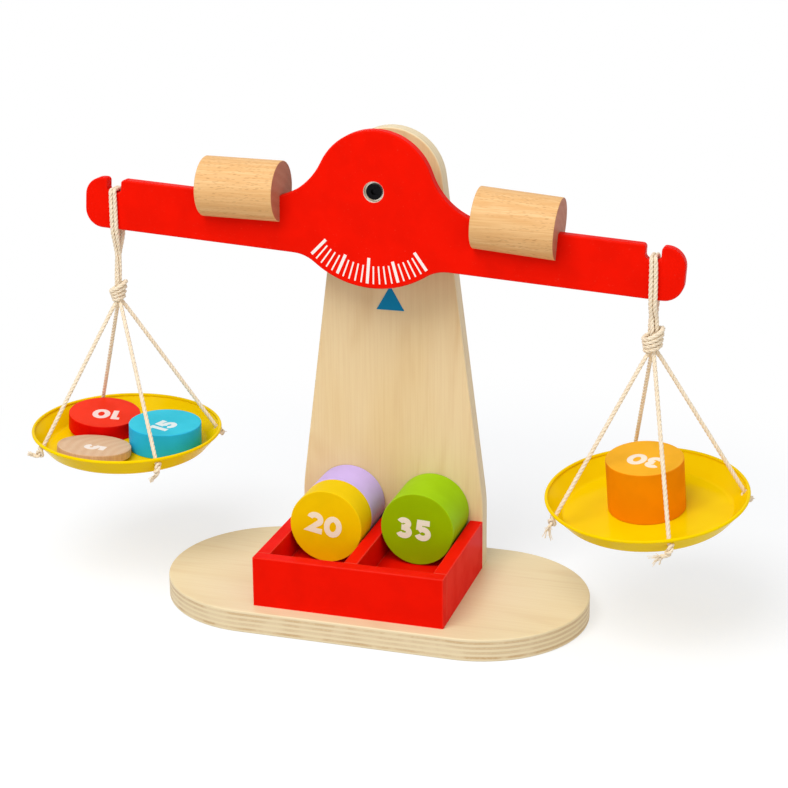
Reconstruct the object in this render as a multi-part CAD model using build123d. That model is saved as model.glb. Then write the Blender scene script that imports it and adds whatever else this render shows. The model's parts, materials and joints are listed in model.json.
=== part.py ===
"""Toy balance scale: a plywood stand with a tray, a tilting beam, two hanging pans, two adjusters and seven weights.

Millimetres, +Z up. The origin is on the table, under the middle of the base board.
X runs along the beam, and -Y is the side that the dial faces.
"""

import os
from math import asin, atan2, cos, degrees, radians, sin, sqrt, tan

from build123d import *

# Clearances and small things shared by many pieces
running_gap = 0.05
loose_gap = 0.3
same_place = 0.02
cut_over = 1.0
eased_edge = 0.8
small_edge = 0.5
hex_sides = 6

# Weights, which set the width of the tray and of the pans
weight_diameter = 40.0
weight_unit_thickness = 0.93
weight_edge = 0.5
tray_weight_gap = 0.2
pan_seat_gap = 0.06

# Base board
base_length = 232.0
base_depth = 117.0
base_thickness = 12.0

# Tray, whose front stands back from the base board's edge
tray_front_margin = 8.5
tray_height = 27.0
tray_board = 7.2
tray_floor_thickness = 12.0
tray_side_gap = 0.35

# Upright, as wide at its foot as the tray, measured from the middle of the base board
upright_front = 30.0
upright_thickness = 10.0
upright_straight = 38.0
upright_top_radius = 29.0
upright_shoulder_radius = 90.0
pivot_height = 224.7

# Beam, measured from its pivot
rest_tilt = 3.6
beam_mid = 5.6
beam_thickness = 6.5
arm_top_drop = 10.0
arm_bottom_drop = 37.5
dial_top_radius = 32.0
dial_bottom_radius = 51.3
dial_top_fillet = 36.0
dial_bottom_fillet = 20.0
hook_corner = 10.0
hook_flat = 0.5
notch_place = 145.5
notch_side_gap = 1.55
notch_depth = 7.5
notch_corner = 2.5
notch_mouth_corner = 2.0

# Dial marks
mark_count = 21
mark_step = 4.0
mark_edge_gap = 2.6
mark_short = 9.5
mark_long = 11.3
mark_middle = 13.7
mark_thin = 0.95
mark_thick = 1.9
mark_height = 0.15
mark_group = 5

# Pointer on the upright
pointer_width = 15.6
pointer_gap = 5.3
pointer_corner = 60.0

# Pivot
bolt_diameter = 5.0
bolt_head_diameter = 8.6
bolt_head_height = 2.6
bolt_socket_width = 3.0
bolt_socket_depth = 1.5
bolt_end = 0.5
front_washer_diameter = 10.0
front_washer_thickness = 0.6
sleeve_wall = 0.95
end_float = 0.2
recess_gap = 0.45
recess_depth = 3.9
spacer_diameter = 18.0
back_washer_diameter = 12.0
back_washer_thickness = 1.0
back_recess_gap = 1.0
nut_width = 8.0
nut_height = 4.0
nut_sink = 1.0

# Screws and dowels under the base board
screw_diameter = 4.0
screw_length = 38.0
screw_head_diameter = 8.0
screw_head_height = 2.6
screw_sink = 0.4
screw_spacing = 64.0
dowel_diameter = 6.0
dowel_length = 20.0
dowel_in_base = 8.0
dowel_spacing = 26.0
tray_screw_diameter = 3.5
tray_screw_length = 19.0
tray_screw_head_diameter = 7.0
tray_screw_head_height = 2.3

# Adjusters
slider_diameter = 32.0
slider_length = 43.0
slider_slot_over_axis = -1.8
slider_slot_gap = 0.12
slider_rest_gap = 0.05
left_slider_out = 9.7
right_slider_out = 13.1

# Pans
pan_floor_room = 3.5
pan_wall_reach = 7.9
pan_depth = 9.5
pan_sheet = 0.6
pan_bead_radius = 0.9
pan_corner_radius = 3.0
hole_reach = 5.9
hole_gap = 0.45
left_pan_drop = 133.7
right_pan_drop = 123.2
pan_tilt_x = {"left": 1.8, "right": 7.0}
pan_tilt_y = {"left": 1.9, "right": -3.0}
hole_angles = {"left": (228.0, 313.0, 28.0, 132.0), "right": (211.0, 292.0, 14.0, 108.0)}

# Cords
cord_diameter = 2.4
cord_side_gap = 0.1
cord_face_gap = 0.12
cord_notch_gap = 0.5
cord_bend_radius = 12.0
cord_straight_drop = 24.0
left_knot_drop = 56.0
right_knot_drop = 42.5
knot_height = 12.6
knot_diameter = 11.6
knot_wrap_count = 3
knot_top_gap = 0.5
end_knot_diameter = 4.8
end_tail_length = 6.0

# How much of the pan's rounded corner keeps a weight off its wall
pan_corner_share = 0.3

# Weights in the tray from the back, and in the pans with how far they lie to the right and to the back
tray_weights = {"left": (25, 20), "right": (35,)}
pan_weights = {"left": (10, 15, 5), "right": (30,)}
pan_weight_shares = {10: (-0.523, 0.353), 15: (0.538, 0.08), 5: (-0.205, -0.635), 30: (-0.02, 0.075)}

# Worked out from the sizes above
beam_front = beam_mid - beam_thickness / 2
beam_back = beam_mid + beam_thickness / 2
upright_back = upright_front + upright_thickness
back_seat = upright_back - nut_sink - nut_height - back_washer_thickness
tray_front_face = tray_front_margin - base_depth / 2
tray_depth = upright_front - tray_front_face
compartment_width = weight_diameter + 2 * tray_side_gap
compartment_place = (tray_board + compartment_width) / 2
tray_width = 2 * compartment_width + 3 * tray_board
notch_width = 2 * cord_diameter + cord_side_gap + 2 * notch_side_gap
hook_reach = notch_width / 2 + notch_mouth_corner + hook_flat + hook_corner
beam_half_length = notch_place + hook_reach
fillet_middle_height = dial_top_fillet - arm_top_drop
fillet_middle = sqrt((dial_top_radius + dial_top_fillet) ** 2 - fillet_middle_height**2)
sleeve_diameter = bolt_diameter + 2 * running_gap + 2 * sleeve_wall
cord_radius = cord_diameter / 2
cord_edge_radius = eased_edge + cord_radius
pan_floor_radius = weight_diameter + pan_floor_room
pan_wall_top = pan_floor_radius + pan_wall_reach
wall_rise = pan_depth / pan_wall_reach
sides = {"left": -1, "right": 1}
slider_outs = {"left": left_slider_out, "right": right_slider_out}
pan_drop = {"left": left_pan_drop, "right": right_pan_drop}
knot_drop = {"left": left_knot_drop, "right": right_knot_drop}
beam_place = Location((0, beam_mid, pivot_height), (0, rest_tilt, 0))

pieces: dict[str, Part] = {}


def upright_plane_face(outline: Sketch) -> Sketch:
    """An outline drawn in X and Y, stood up so that its Y becomes Z and its front looks to -Y."""
    return Plane.XZ * outline


def board(outline: Sketch, front: float, thickness: float) -> Part:
    """A standing board whose front face lies at the given Y."""
    return Pos(0, front + thickness, 0) * extrude(upright_plane_face(outline), amount=thickness)


def rod(diameter: float, length: float) -> Part:
    """A round bar that starts at the origin and runs along +Y."""
    return Rot(-90, 0, 0) * Cylinder(diameter / 2, length, align=(Align.CENTER, Align.CENTER, Align.MIN))


def post(diameter: float, length: float) -> Part:
    """A round bar that stands on the origin."""
    return Cylinder(diameter / 2, length, align=(Align.CENTER, Align.CENTER, Align.MIN))


def block(width: float, depth: float, height: float) -> Part:
    """A box that stands on the origin, centred left to right, with its front face at Y = 0."""
    return Box(width, depth, height, align=(Align.CENTER, Align.MIN, Align.MIN))


def wood_screw(diameter: float, length: float, head_diameter: float, head_height: float) -> Part:
    """A countersunk screw that points up, with its head's flat face at the origin."""
    shank = Pos(0, 0, head_height) * post(diameter, length - head_height)
    head = loft([Circle(head_diameter / 2), Pos(0, 0, head_height) * Circle(diameter / 2)])
    return head + shank


def screw_cut(diameter: float, length: float, head_diameter: float, head_height: float) -> Part:
    """The hole for such a screw, open below."""
    bigger = wood_screw(
        diameter + 2 * running_gap,
        length + running_gap,
        head_diameter + 2 * running_gap,
        head_height,
    )
    return bigger + Pos(0, 0, -cut_over) * post(head_diameter + 2 * running_gap, cut_over)


def beam_outline() -> Sketch:
    """The beam board's outline about its pivot, with its two notches open at the top."""
    top_turn = degrees(atan2(fillet_middle_height, fillet_middle))
    low_middle_height = -arm_bottom_drop - dial_bottom_fillet
    low_reach = dial_bottom_radius + dial_bottom_fillet
    low_middle = sqrt(low_reach**2 - low_middle_height**2)
    low_turn = degrees(atan2(low_middle_height, low_middle))
    corner_place = beam_half_length - hook_corner
    right_edges = [
        CenterArc((0, 0), dial_top_radius, 90, top_turn - 90),
        CenterArc((fillet_middle, fillet_middle_height), dial_top_fillet, 180 + top_turn, 90 - top_turn),
        Line((fillet_middle, -arm_top_drop), (corner_place, -arm_top_drop)),
        CenterArc((corner_place, -arm_top_drop - hook_corner), hook_corner, 90, -90),
        Line((beam_half_length, -arm_top_drop - hook_corner), (beam_half_length, -arm_bottom_drop + hook_corner)),
        CenterArc((corner_place, -arm_bottom_drop + hook_corner), hook_corner, 0, -90),
        Line((corner_place, -arm_bottom_drop), (low_middle, -arm_bottom_drop)),
        CenterArc((low_middle, low_middle_height), dial_bottom_fillet, 90, 90 + low_turn),
        CenterArc((0, 0), dial_bottom_radius, low_turn, -90 - low_turn),
    ]
    left_edges = [mirror(edge, Plane.YZ) for edge in right_edges]
    outline = make_face(Curve() + right_edges + left_edges)
    for side in sides.values():
        cut = Rectangle(notch_width, notch_depth + cut_over, align=(Align.CENTER, Align.MIN))
        cut = fillet(cut.vertices().sort_by(Axis.Y)[:2], notch_corner)
        outline -= Pos(side * notch_place, -arm_top_drop - notch_depth) * cut
    mouth_reach = notch_width / 2 + same_place
    mouths = [
        vertex
        for vertex in outline.vertices()
        if abs(vertex.Y + arm_top_drop) < same_place and abs(abs(vertex.X) - notch_place) < mouth_reach
    ]
    return fillet(mouths, notch_mouth_corner)


def eased_board(outline: Sketch, front: float, thickness: float, radius: float) -> Part:
    """A standing board with all the edges of its two faces rounded."""
    raw = board(outline, front, thickness)
    return fillet(raw.faces().filter_by(Axis.Y).edges(), radius)


def in_beam(shape: Part) -> Part:
    """Places something drawn about the pivot, in the middle of the beam's thickness, on the tilted beam."""
    return beam_place * shape


def make_base() -> None:
    """The base board and everything that is fixed into it from below."""
    outline = SlotOverall(base_length, base_depth)
    plate = extrude(outline, amount=base_thickness)
    plate = fillet(plate.faces().filter_by(Axis.Z).edges(), eased_edge)
    upright_mid = upright_front + upright_thickness / 2
    screws = []
    dowels = []
    for side in sides.values():
        place = Pos(side * screw_spacing / 2, upright_mid, screw_sink)
        plate -= place * screw_cut(screw_diameter, screw_length, screw_head_diameter, screw_head_height)
        screws.append(place * wood_screw(screw_diameter, screw_length, screw_head_diameter, screw_head_height))
        dowel_foot = base_thickness - dowel_in_base
        dowel_at = Pos(side * dowel_spacing / 2, upright_mid, dowel_foot)
        plate -= dowel_at * post(dowel_diameter + 2 * running_gap, dowel_length)
        dowels.append(dowel_at * Pos(0, 0, running_gap) * post(dowel_diameter, dowel_length))
    tray_screws = []
    for side in sides.values():
        place = Pos(side * compartment_place, upright_front - tray_depth / 2, screw_sink)
        sizes = (tray_screw_diameter, tray_screw_length, tray_screw_head_diameter, tray_screw_head_height)
        plate -= place * screw_cut(*sizes)
        tray_screws.append(place * wood_screw(*sizes))
    pieces["base_board"] = plate
    pieces["upright_screws"] = Compound(children=screws)
    pieces["upright_dowels"] = Compound(children=dowels)
    pieces["tray_screws"] = Compound(children=tray_screws)


def upright_outline() -> Sketch:
    """Straight foot, tapering sides that touch the round top, all about X = 0."""
    half_foot = tray_width / 2
    bend_height = base_thickness + upright_straight
    rise = pivot_height - bend_height
    reach = sqrt(rise**2 + half_foot**2)
    side_turn = degrees(atan2(rise, -half_foot)) - degrees(asin(upright_top_radius / reach))
    contact_turn = side_turn - 90
    contact = (
        upright_top_radius * cos(radians(contact_turn)),
        pivot_height + upright_top_radius * sin(radians(contact_turn)),
    )
    right = Polyline((0, base_thickness), (half_foot, base_thickness), (half_foot, bend_height), contact)
    top = CenterArc((0, pivot_height), upright_top_radius, contact_turn, 180 - 2 * contact_turn)
    outline = make_face(Curve() + right.edges() + mirror(right, Plane.YZ).edges() + [top])
    bends = [vertex for vertex in outline.vertices() if abs(vertex.Y - bend_height) < same_place]
    return fillet(bends, upright_shoulder_radius)


def make_upright() -> None:
    """The column, with its holes for the pivot bolt, screws and dowels, and the pointer on it."""
    raw = board(upright_outline(), upright_front, upright_thickness)
    face_edges = raw.faces().filter_by(Axis.Y).edges()
    foot_edges = face_edges.filter_by(Axis.X)
    column = fillet([edge for edge in face_edges if edge not in foot_edges], eased_edge)
    column -= Pos(0, upright_front - cut_over, pivot_height) * rod(
        bolt_diameter + 2 * running_gap, upright_thickness + 2 * cut_over
    )
    column -= Pos(0, back_seat, pivot_height) * rod(
        back_washer_diameter + 2 * back_recess_gap, upright_back - back_seat + cut_over
    )
    upright_mid = upright_front + upright_thickness / 2
    for side in sides.values():
        place = Pos(side * screw_spacing / 2, upright_mid, screw_sink)
        column -= place * screw_cut(screw_diameter, screw_length, screw_head_diameter, screw_head_height)
        dowel_at = Pos(side * dowel_spacing / 2, upright_mid, base_thickness - dowel_in_base)
        column -= dowel_at * post(dowel_diameter + 2 * running_gap, dowel_length + 2 * running_gap)
    pieces["upright"] = column

    half = pointer_width / 2
    tip = pivot_height - dial_bottom_radius - pointer_gap
    foot = tip - half * tan(radians(pointer_corner))
    triangle = make_face(Polyline((-half, foot), (half, foot), (0, tip), close=True))
    pieces["pointer_mark"] = board(triangle, upright_front - mark_height, mark_height)


def make_tray() -> None:
    """Front board, two sides, divider and a floor block in each compartment."""
    inner_depth = tray_depth - tray_board
    front = Pos(0, tray_front_face, base_thickness) * block(tray_width, tray_board, tray_height)
    upper = front.edges().group_by(Axis.Z)[-1]
    corners = [
        edge for edge in front.edges().filter_by(Axis.Z) if edge.center().Y < tray_front_face + tray_board / 2
    ]
    pieces["tray_front"] = fillet(list(upper) + corners, small_edge)
    walls = {
        "tray_left_side": -(tray_width - tray_board) / 2,
        "tray_divider": 0,
        "tray_right_side": (tray_width - tray_board) / 2,
    }
    for name, place in walls.items():
        wall = Pos(place, tray_front_face + tray_board, base_thickness) * block(tray_board, inner_depth, tray_height)
        pieces[name] = fillet(wall.edges().filter_by(Axis.Y).group_by(Axis.Z)[-1], small_edge)
    sizes = (tray_screw_diameter, tray_screw_length, tray_screw_head_diameter, tray_screw_head_height)
    for side_name, side in sides.items():
        floor = Pos(side * compartment_place, tray_front_face + tray_board, base_thickness) * block(
            compartment_width, inner_depth, tray_floor_thickness
        )
        screw_at = Pos(side * compartment_place, upright_front - tray_depth / 2, screw_sink)
        pieces[f"tray_{side_name}_floor"] = floor - screw_at * screw_cut(*sizes)


def make_pivot() -> None:
    """Bolt, washers, sleeve, spacer and nut on the pivot axis."""
    web_front = beam_front + recess_depth
    sleeve_front = web_front - end_float
    sleeve_back = beam_back + end_float
    washer_front = sleeve_front - front_washer_thickness
    head_front = washer_front - bolt_head_height
    bore = bolt_diameter + 2 * running_gap
    bolt_tip = back_seat + back_washer_thickness + nut_height + bolt_end

    def ring(diameter: float, start: float, end: float) -> Part:
        """A round tube on the bolt, from one Y to another."""
        outside = Pos(0, start, pivot_height) * rod(diameter, end - start)
        return outside - Pos(0, start - cut_over, pivot_height) * rod(bore, end - start + 2 * cut_over)

    head = Pos(0, head_front, pivot_height) * rod(bolt_head_diameter, bolt_head_height)
    head = fillet(head.edges().group_by(Axis.Y)[0], small_edge)
    socket = Pos(0, head_front + bolt_socket_depth, pivot_height) * extrude(
        Plane.XZ * RegularPolygon(bolt_socket_width / 2, hex_sides, major_radius=False),
        amount=bolt_socket_depth + cut_over,
    )
    shank = Pos(0, washer_front, pivot_height) * rod(bolt_diameter, bolt_tip - washer_front)
    pieces["pivot_bolt"] = head - socket + shank
    pieces["pivot_front_washer"] = ring(front_washer_diameter, washer_front, sleeve_front)
    pieces["pivot_sleeve"] = ring(sleeve_diameter, sleeve_front, sleeve_back)
    pieces["pivot_spacer"] = ring(spacer_diameter, sleeve_back, upright_front)
    pieces["pivot_back_washer"] = ring(back_washer_diameter, back_seat, back_seat + back_washer_thickness)
    nut_start = back_seat + back_washer_thickness
    nut = Pos(0, nut_start + nut_height, pivot_height) * extrude(
        Plane.XZ * RegularPolygon(nut_width / 2, hex_sides, major_radius=False), amount=nut_height
    )
    pieces["pivot_nut"] = nut - Pos(0, nut_start - cut_over, pivot_height) * rod(bore, nut_height + 2 * cut_over)


def make_beam() -> None:
    """The beam board with its pivot hole, and the marks on its dial."""
    front = -beam_thickness / 2
    plate = eased_board(beam_outline(), front, beam_thickness, eased_edge)
    plate -= Pos(0, front - cut_over, 0) * rod(
        sleeve_diameter + 2 * running_gap, beam_thickness + 2 * cut_over
    )
    recess_diameter = front_washer_diameter + 2 * recess_gap
    plate -= Pos(0, front - cut_over, 0) * rod(recess_diameter, recess_depth + cut_over)
    pieces["beam_board"] = in_beam(plate)

    marks = []
    middle = (mark_count - 1) // 2
    for index in range(mark_count):
        place = index - middle
        long_one = place % mark_group == 0
        length = mark_long if long_one else mark_short
        length = mark_middle if place == 0 else length
        width = mark_thick if long_one else mark_thin
        stroke = Rectangle(width, length, align=(Align.CENTER, Align.MIN))
        stroke = Rot(0, 0, place * mark_step) * Pos(0, mark_edge_gap - dial_bottom_radius) * stroke
        marks.append(in_beam(board(stroke, front - mark_height, mark_height)))
    pieces["dial_marks"] = Compound(children=marks)


def slider_rise(inner_end: float) -> float:
    """How far the beam's top edge has risen at an adjuster's inner end."""
    into = max(fillet_middle - inner_end, 0)
    return dial_top_fillet - sqrt(dial_top_fillet**2 - into**2)


def make_sliders() -> None:
    """Two cylinders with a slot from below, each sitting on the arm and on the dial's shoulder."""
    for side_name, out in slider_outs.items():
        side = sides[side_name]
        place = side * (fillet_middle + out)
        rise = slider_rise(abs(place) - slider_length / 2)
        lean = degrees(asin(rise / slider_length))
        body = Rot(0, 90, 0) * Cylinder(slider_diameter / 2, slider_length)
        body = fillet(body.edges(), small_edge)
        slot_width = beam_thickness + 2 * slider_slot_gap
        slot = Pos(0, -slot_width / 2, slider_slot_over_axis) * block(
            slider_length + 2 * cut_over, slot_width, slider_diameter
        )
        slot = Pos(0, 0, -slider_diameter) * slot
        shape = Rot(0, side * lean, 0) * (body - slot)
        height = -arm_top_drop - slider_slot_over_axis + rise / 2 + slider_rest_gap
        pieces[f"{side_name}_slider"] = in_beam(Pos(place, 0, height) * shape)


def hang_point(side_name: str) -> Vector:
    """The middle of a notch's floor, in the world."""
    at = beam_place * Pos(sides[side_name] * notch_place, 0, -arm_top_drop - notch_depth)
    return at.position


def pan_frame(side_name: str) -> Location:
    """The middle of a pan's rim, leaning as that pan hangs."""
    at = hang_point(side_name)
    tilt = (pan_tilt_x[side_name], pan_tilt_y[side_name], 0)
    return Location((at.X, at.Y, at.Z - pan_drop[side_name]), tilt)


def make_pan(side_name: str) -> Part:
    """A pressed dish with a rolled rim and four holes in its wall, about the middle of its rim."""
    inside = FilletPolyline(
        (0, -pan_depth), (pan_floor_radius, -pan_depth), (pan_wall_top, 0), radius=pan_corner_radius
    )
    slope = atan2(pan_depth, pan_wall_reach)
    out_x = pan_sheet * tan(slope / 2)
    outside = FilletPolyline(
        (0, -pan_depth - pan_sheet),
        (pan_floor_radius + out_x, -pan_depth - pan_sheet),
        (pan_wall_top + pan_sheet * sin(slope), -pan_sheet * cos(slope)),
        radius=pan_corner_radius + pan_sheet,
    )
    profile = make_face(
        Curve()
        + inside.edges()
        + outside.edges()
        + [Line(inside @ 0, outside @ 0), Line(inside @ 1, outside @ 1)]
    )
    profile += Pos(pan_wall_top, 0) * Circle(pan_bead_radius)
    dish = revolve(Plane.XZ * profile, Axis.Z)
    for angle in hole_angles[side_name]:
        dish -= hole_cut(side_name, angle)
    return dish


def hole_point(side_name: str, angle: float) -> Vector:
    """Where a strand goes through the pan's wall, from the middle of the rim."""
    out = pan_floor_radius + hole_reach
    height = hole_reach * wall_rise - pan_depth
    return Vector(out * cos(radians(angle)), out * sin(radians(angle)), height)


def knot_in_pan(side_name: str) -> Vector:
    """The lower end of the gathering knot, in the pan's own leaning frame."""
    at = hang_point(side_name)
    low = Vector(at.X, at.Y, at.Z - knot_drop[side_name] - knot_height / 2 + cord_radius)
    local = pan_frame(side_name).inverse() * Pos(low.X, low.Y, low.Z)
    return local.position


def round_bar(start: Vector, end: Vector, diameter: float) -> Part:
    """A straight round bar between two points."""
    step = end - start
    return extrude(Plane(origin=start, z_dir=step) * Circle(diameter / 2), amount=step.length)


def hole_cut(side_name: str, angle: float) -> Part:
    """What a strand's hole takes from the pan's wall, along the strand."""
    hole = hole_point(side_name, angle)
    step = (hole - knot_in_pan(side_name)).normalized() * (end_knot_diameter + pan_sheet)
    return round_bar(hole - step, hole + step, cord_diameter + 2 * hole_gap)


def make_strands(side_name: str) -> Part:
    """The gathering knot, the four strands to the pan and the small knot and tail at each end."""
    frame = pan_frame(side_name)
    at = hang_point(side_name)
    wrap_radius = knot_height / (2 * knot_wrap_count)
    core_radius = knot_diameter / 2 - wrap_radius
    knot_middle = at.Z - knot_drop[side_name]
    body = Pos(0, 0, knot_middle) * Cylinder(core_radius, knot_height - wrap_radius)
    for index in range(knot_wrap_count):
        height = knot_middle + (index - (knot_wrap_count - 1) / 2) * 2 * wrap_radius
        body += Pos(0, 0, height) * Torus(core_radius, wrap_radius)
    body = Pos(at.X, at.Y, 0) * body
    top = knot_in_pan(side_name)
    for angle in hole_angles[side_name]:
        hole = hole_point(side_name, angle)
        step = (hole - top).normalized()
        knot_at = hole + step * (end_knot_diameter / 2 + pan_sheet + loose_gap)
        ball = Pos(*knot_at) * Sphere(end_knot_diameter / 2)
        body += frame * (round_bar(top, knot_at + step * end_tail_length, cord_diameter) + ball)
    return body


def make_loops(side_name: str) -> Part:
    """Two cords side by side over the notch, down both faces of the beam to the gathering knot."""
    at = hang_point(side_name)
    face = beam_thickness / 2 + cord_radius + cord_face_gap
    top = cord_radius + cord_notch_gap
    low = -knot_drop[side_name] + knot_height / 2 + knot_top_gap
    inner = cord_radius + cord_side_gap / 2
    cords = []
    for side in sides.values():
        across = side * inner
        route = [
            (across, -inner, low),
            (across, -face, -cord_straight_drop),
            (across, -face, top),
            (across, face, top),
            (across, face, -cord_straight_drop),
            (across, inner, low),
        ]
        radii = [cord_bend_radius, cord_edge_radius, cord_edge_radius, cord_bend_radius]
        spine = Pos(*at) * FilletPolyline(*route, radius=radii)
        start = Plane(origin=spine @ 0, z_dir=spine % 0)
        cords.append(sweep(start * Circle(cord_radius), path=spine))
    return Compound(children=cords)


def disc(number: int) -> Part:
    """A weight standing on the origin, its axis along Z."""
    body = post(weight_diameter, number * weight_unit_thickness)
    return fillet(body.edges(), weight_edge)


def make_tray_weights() -> None:
    """Weights that lie on their sides in the tray, pushed back against the upright."""
    height = base_thickness + tray_floor_thickness + weight_diameter / 2 + loose_gap
    for side_name, numbers in tray_weights.items():
        back = upright_front - loose_gap
        for number in numbers:
            front = back - number * weight_unit_thickness
            shape = Pos(sides[side_name] * compartment_place, front, height) * Rot(-90, 0, 0) * disc(number)
            pieces[f"weight_{number}"] = shape
            back = front - tray_weight_gap


def make_pan_weights(side_name: str) -> None:
    """Weights on a pan's floor, tipped up where their outer edge meets the sloping wall."""
    frame = pan_frame(side_name)
    radius = weight_diameter / 2
    for number in pan_weights[side_name]:
        right, behind = pan_weight_shares[number]
        out = weight_diameter * sqrt(right**2 + behind**2)
        turn = degrees(atan2(behind, right))
        reach = out + radius - pan_floor_radius + pan_corner_radius * pan_corner_share
        rise = max(reach, 0) * wall_rise
        tip = degrees(asin(rise / weight_diameter))
        lift = -pan_depth + pan_seat_gap + rise / 2
        seat = Rot(0, 0, turn) * Pos(out, 0, lift) * Rot(0, -tip, 0) * Rot(0, 0, -turn)
        pieces[f"weight_{number}"] = frame * seat * disc(number)


make_base()
make_upright()
make_tray()
make_pivot()
make_beam()
make_sliders()
for name in sides:
    pieces[f"{name}_pan"] = pan_frame(name) * make_pan(name)
    pieces[f"{name}_cord_strands"] = make_strands(name)
    pieces[f"{name}_cord_loops"] = make_loops(name)
    make_pan_weights(name)
make_tray_weights()

os.makedirs("parts", exist_ok=True)
for name, shape in pieces.items():
    export_step(shape, f"parts/{name}.step")
    box = shape.bounding_box()
    low, high = box.min, box.max
    spans = f"x {low.X:8.2f} {high.X:8.2f}  y {low.Y:8.2f} {high.Y:8.2f}  z {low.Z:8.2f} {high.Z:8.2f}"
    print(f"{name:22} {spans}")
for name in sides:
    at = hang_point(name)
    print(f"{name} hang point {at.X:.3f} {at.Y:.3f} {at.Z:.3f}")
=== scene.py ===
"""Toy balance scale: finishes, cords, printed numbers, light and camera, round the fixed frame of its solids.

Metres, +Z up. The origin is under the middle of the base board, X runs along the beam, and -Y is the dial's side.
"""

import json
import logging
import math
from dataclasses import dataclass, field
from enum import Enum

import bmesh
import bpy
import numpy as np
from mathutils import Matrix, Vector


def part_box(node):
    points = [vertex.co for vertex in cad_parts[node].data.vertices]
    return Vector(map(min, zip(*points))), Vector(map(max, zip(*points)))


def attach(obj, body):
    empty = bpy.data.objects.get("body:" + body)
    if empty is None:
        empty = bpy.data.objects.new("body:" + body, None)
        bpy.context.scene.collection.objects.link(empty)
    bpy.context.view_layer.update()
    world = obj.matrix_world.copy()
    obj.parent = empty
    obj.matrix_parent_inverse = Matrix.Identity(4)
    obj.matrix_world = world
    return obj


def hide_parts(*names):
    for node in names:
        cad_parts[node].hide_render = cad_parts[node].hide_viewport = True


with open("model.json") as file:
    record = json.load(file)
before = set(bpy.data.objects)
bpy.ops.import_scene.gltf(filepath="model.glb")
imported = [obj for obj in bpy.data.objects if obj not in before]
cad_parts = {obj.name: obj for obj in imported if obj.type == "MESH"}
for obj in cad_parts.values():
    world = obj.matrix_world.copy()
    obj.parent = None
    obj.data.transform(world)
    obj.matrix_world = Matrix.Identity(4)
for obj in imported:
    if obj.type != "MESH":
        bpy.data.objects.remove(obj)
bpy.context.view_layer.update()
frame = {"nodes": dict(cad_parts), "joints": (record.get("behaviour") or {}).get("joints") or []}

LOG = logging.getLogger("balance_scale")
MM = 0.001
PHOTO_SIZE = 788
SEED = 7
CORDS = 4
UP = Vector((0.0, 0.0, 1.0))

Socket = bpy.types.NodeSocket
Node = bpy.types.Node
Piece = bpy.types.Object
Colour = tuple[float, float, float, float]


def colour(code: str) -> Colour:
    """Turns a screen colour such as e8121b into linear light.

    Args:
        code: Six hexadecimal digits, red first.

    Returns:
        Red, green, blue and an alpha of 1.
    """
    parts = [int(code[start:start + 2], 16) / 255 for start in (0, 2, 4)]
    linear = [part / 12.92 if part <= 0.04045 else ((part + 0.055) / 1.055) ** 2.4 for part in parts]
    return (*linear, 1.0)


def blended(first: str, second: str, share: float) -> str:
    """A screen colour with a share of a second one in it."""
    pairs = [(int(first[at:at + 2], 16), int(second[at:at + 2], 16)) for at in (0, 2, 4)]
    return "".join(f"{round(low + (high - low) * share):02x}" for low, high in pairs)


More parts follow.
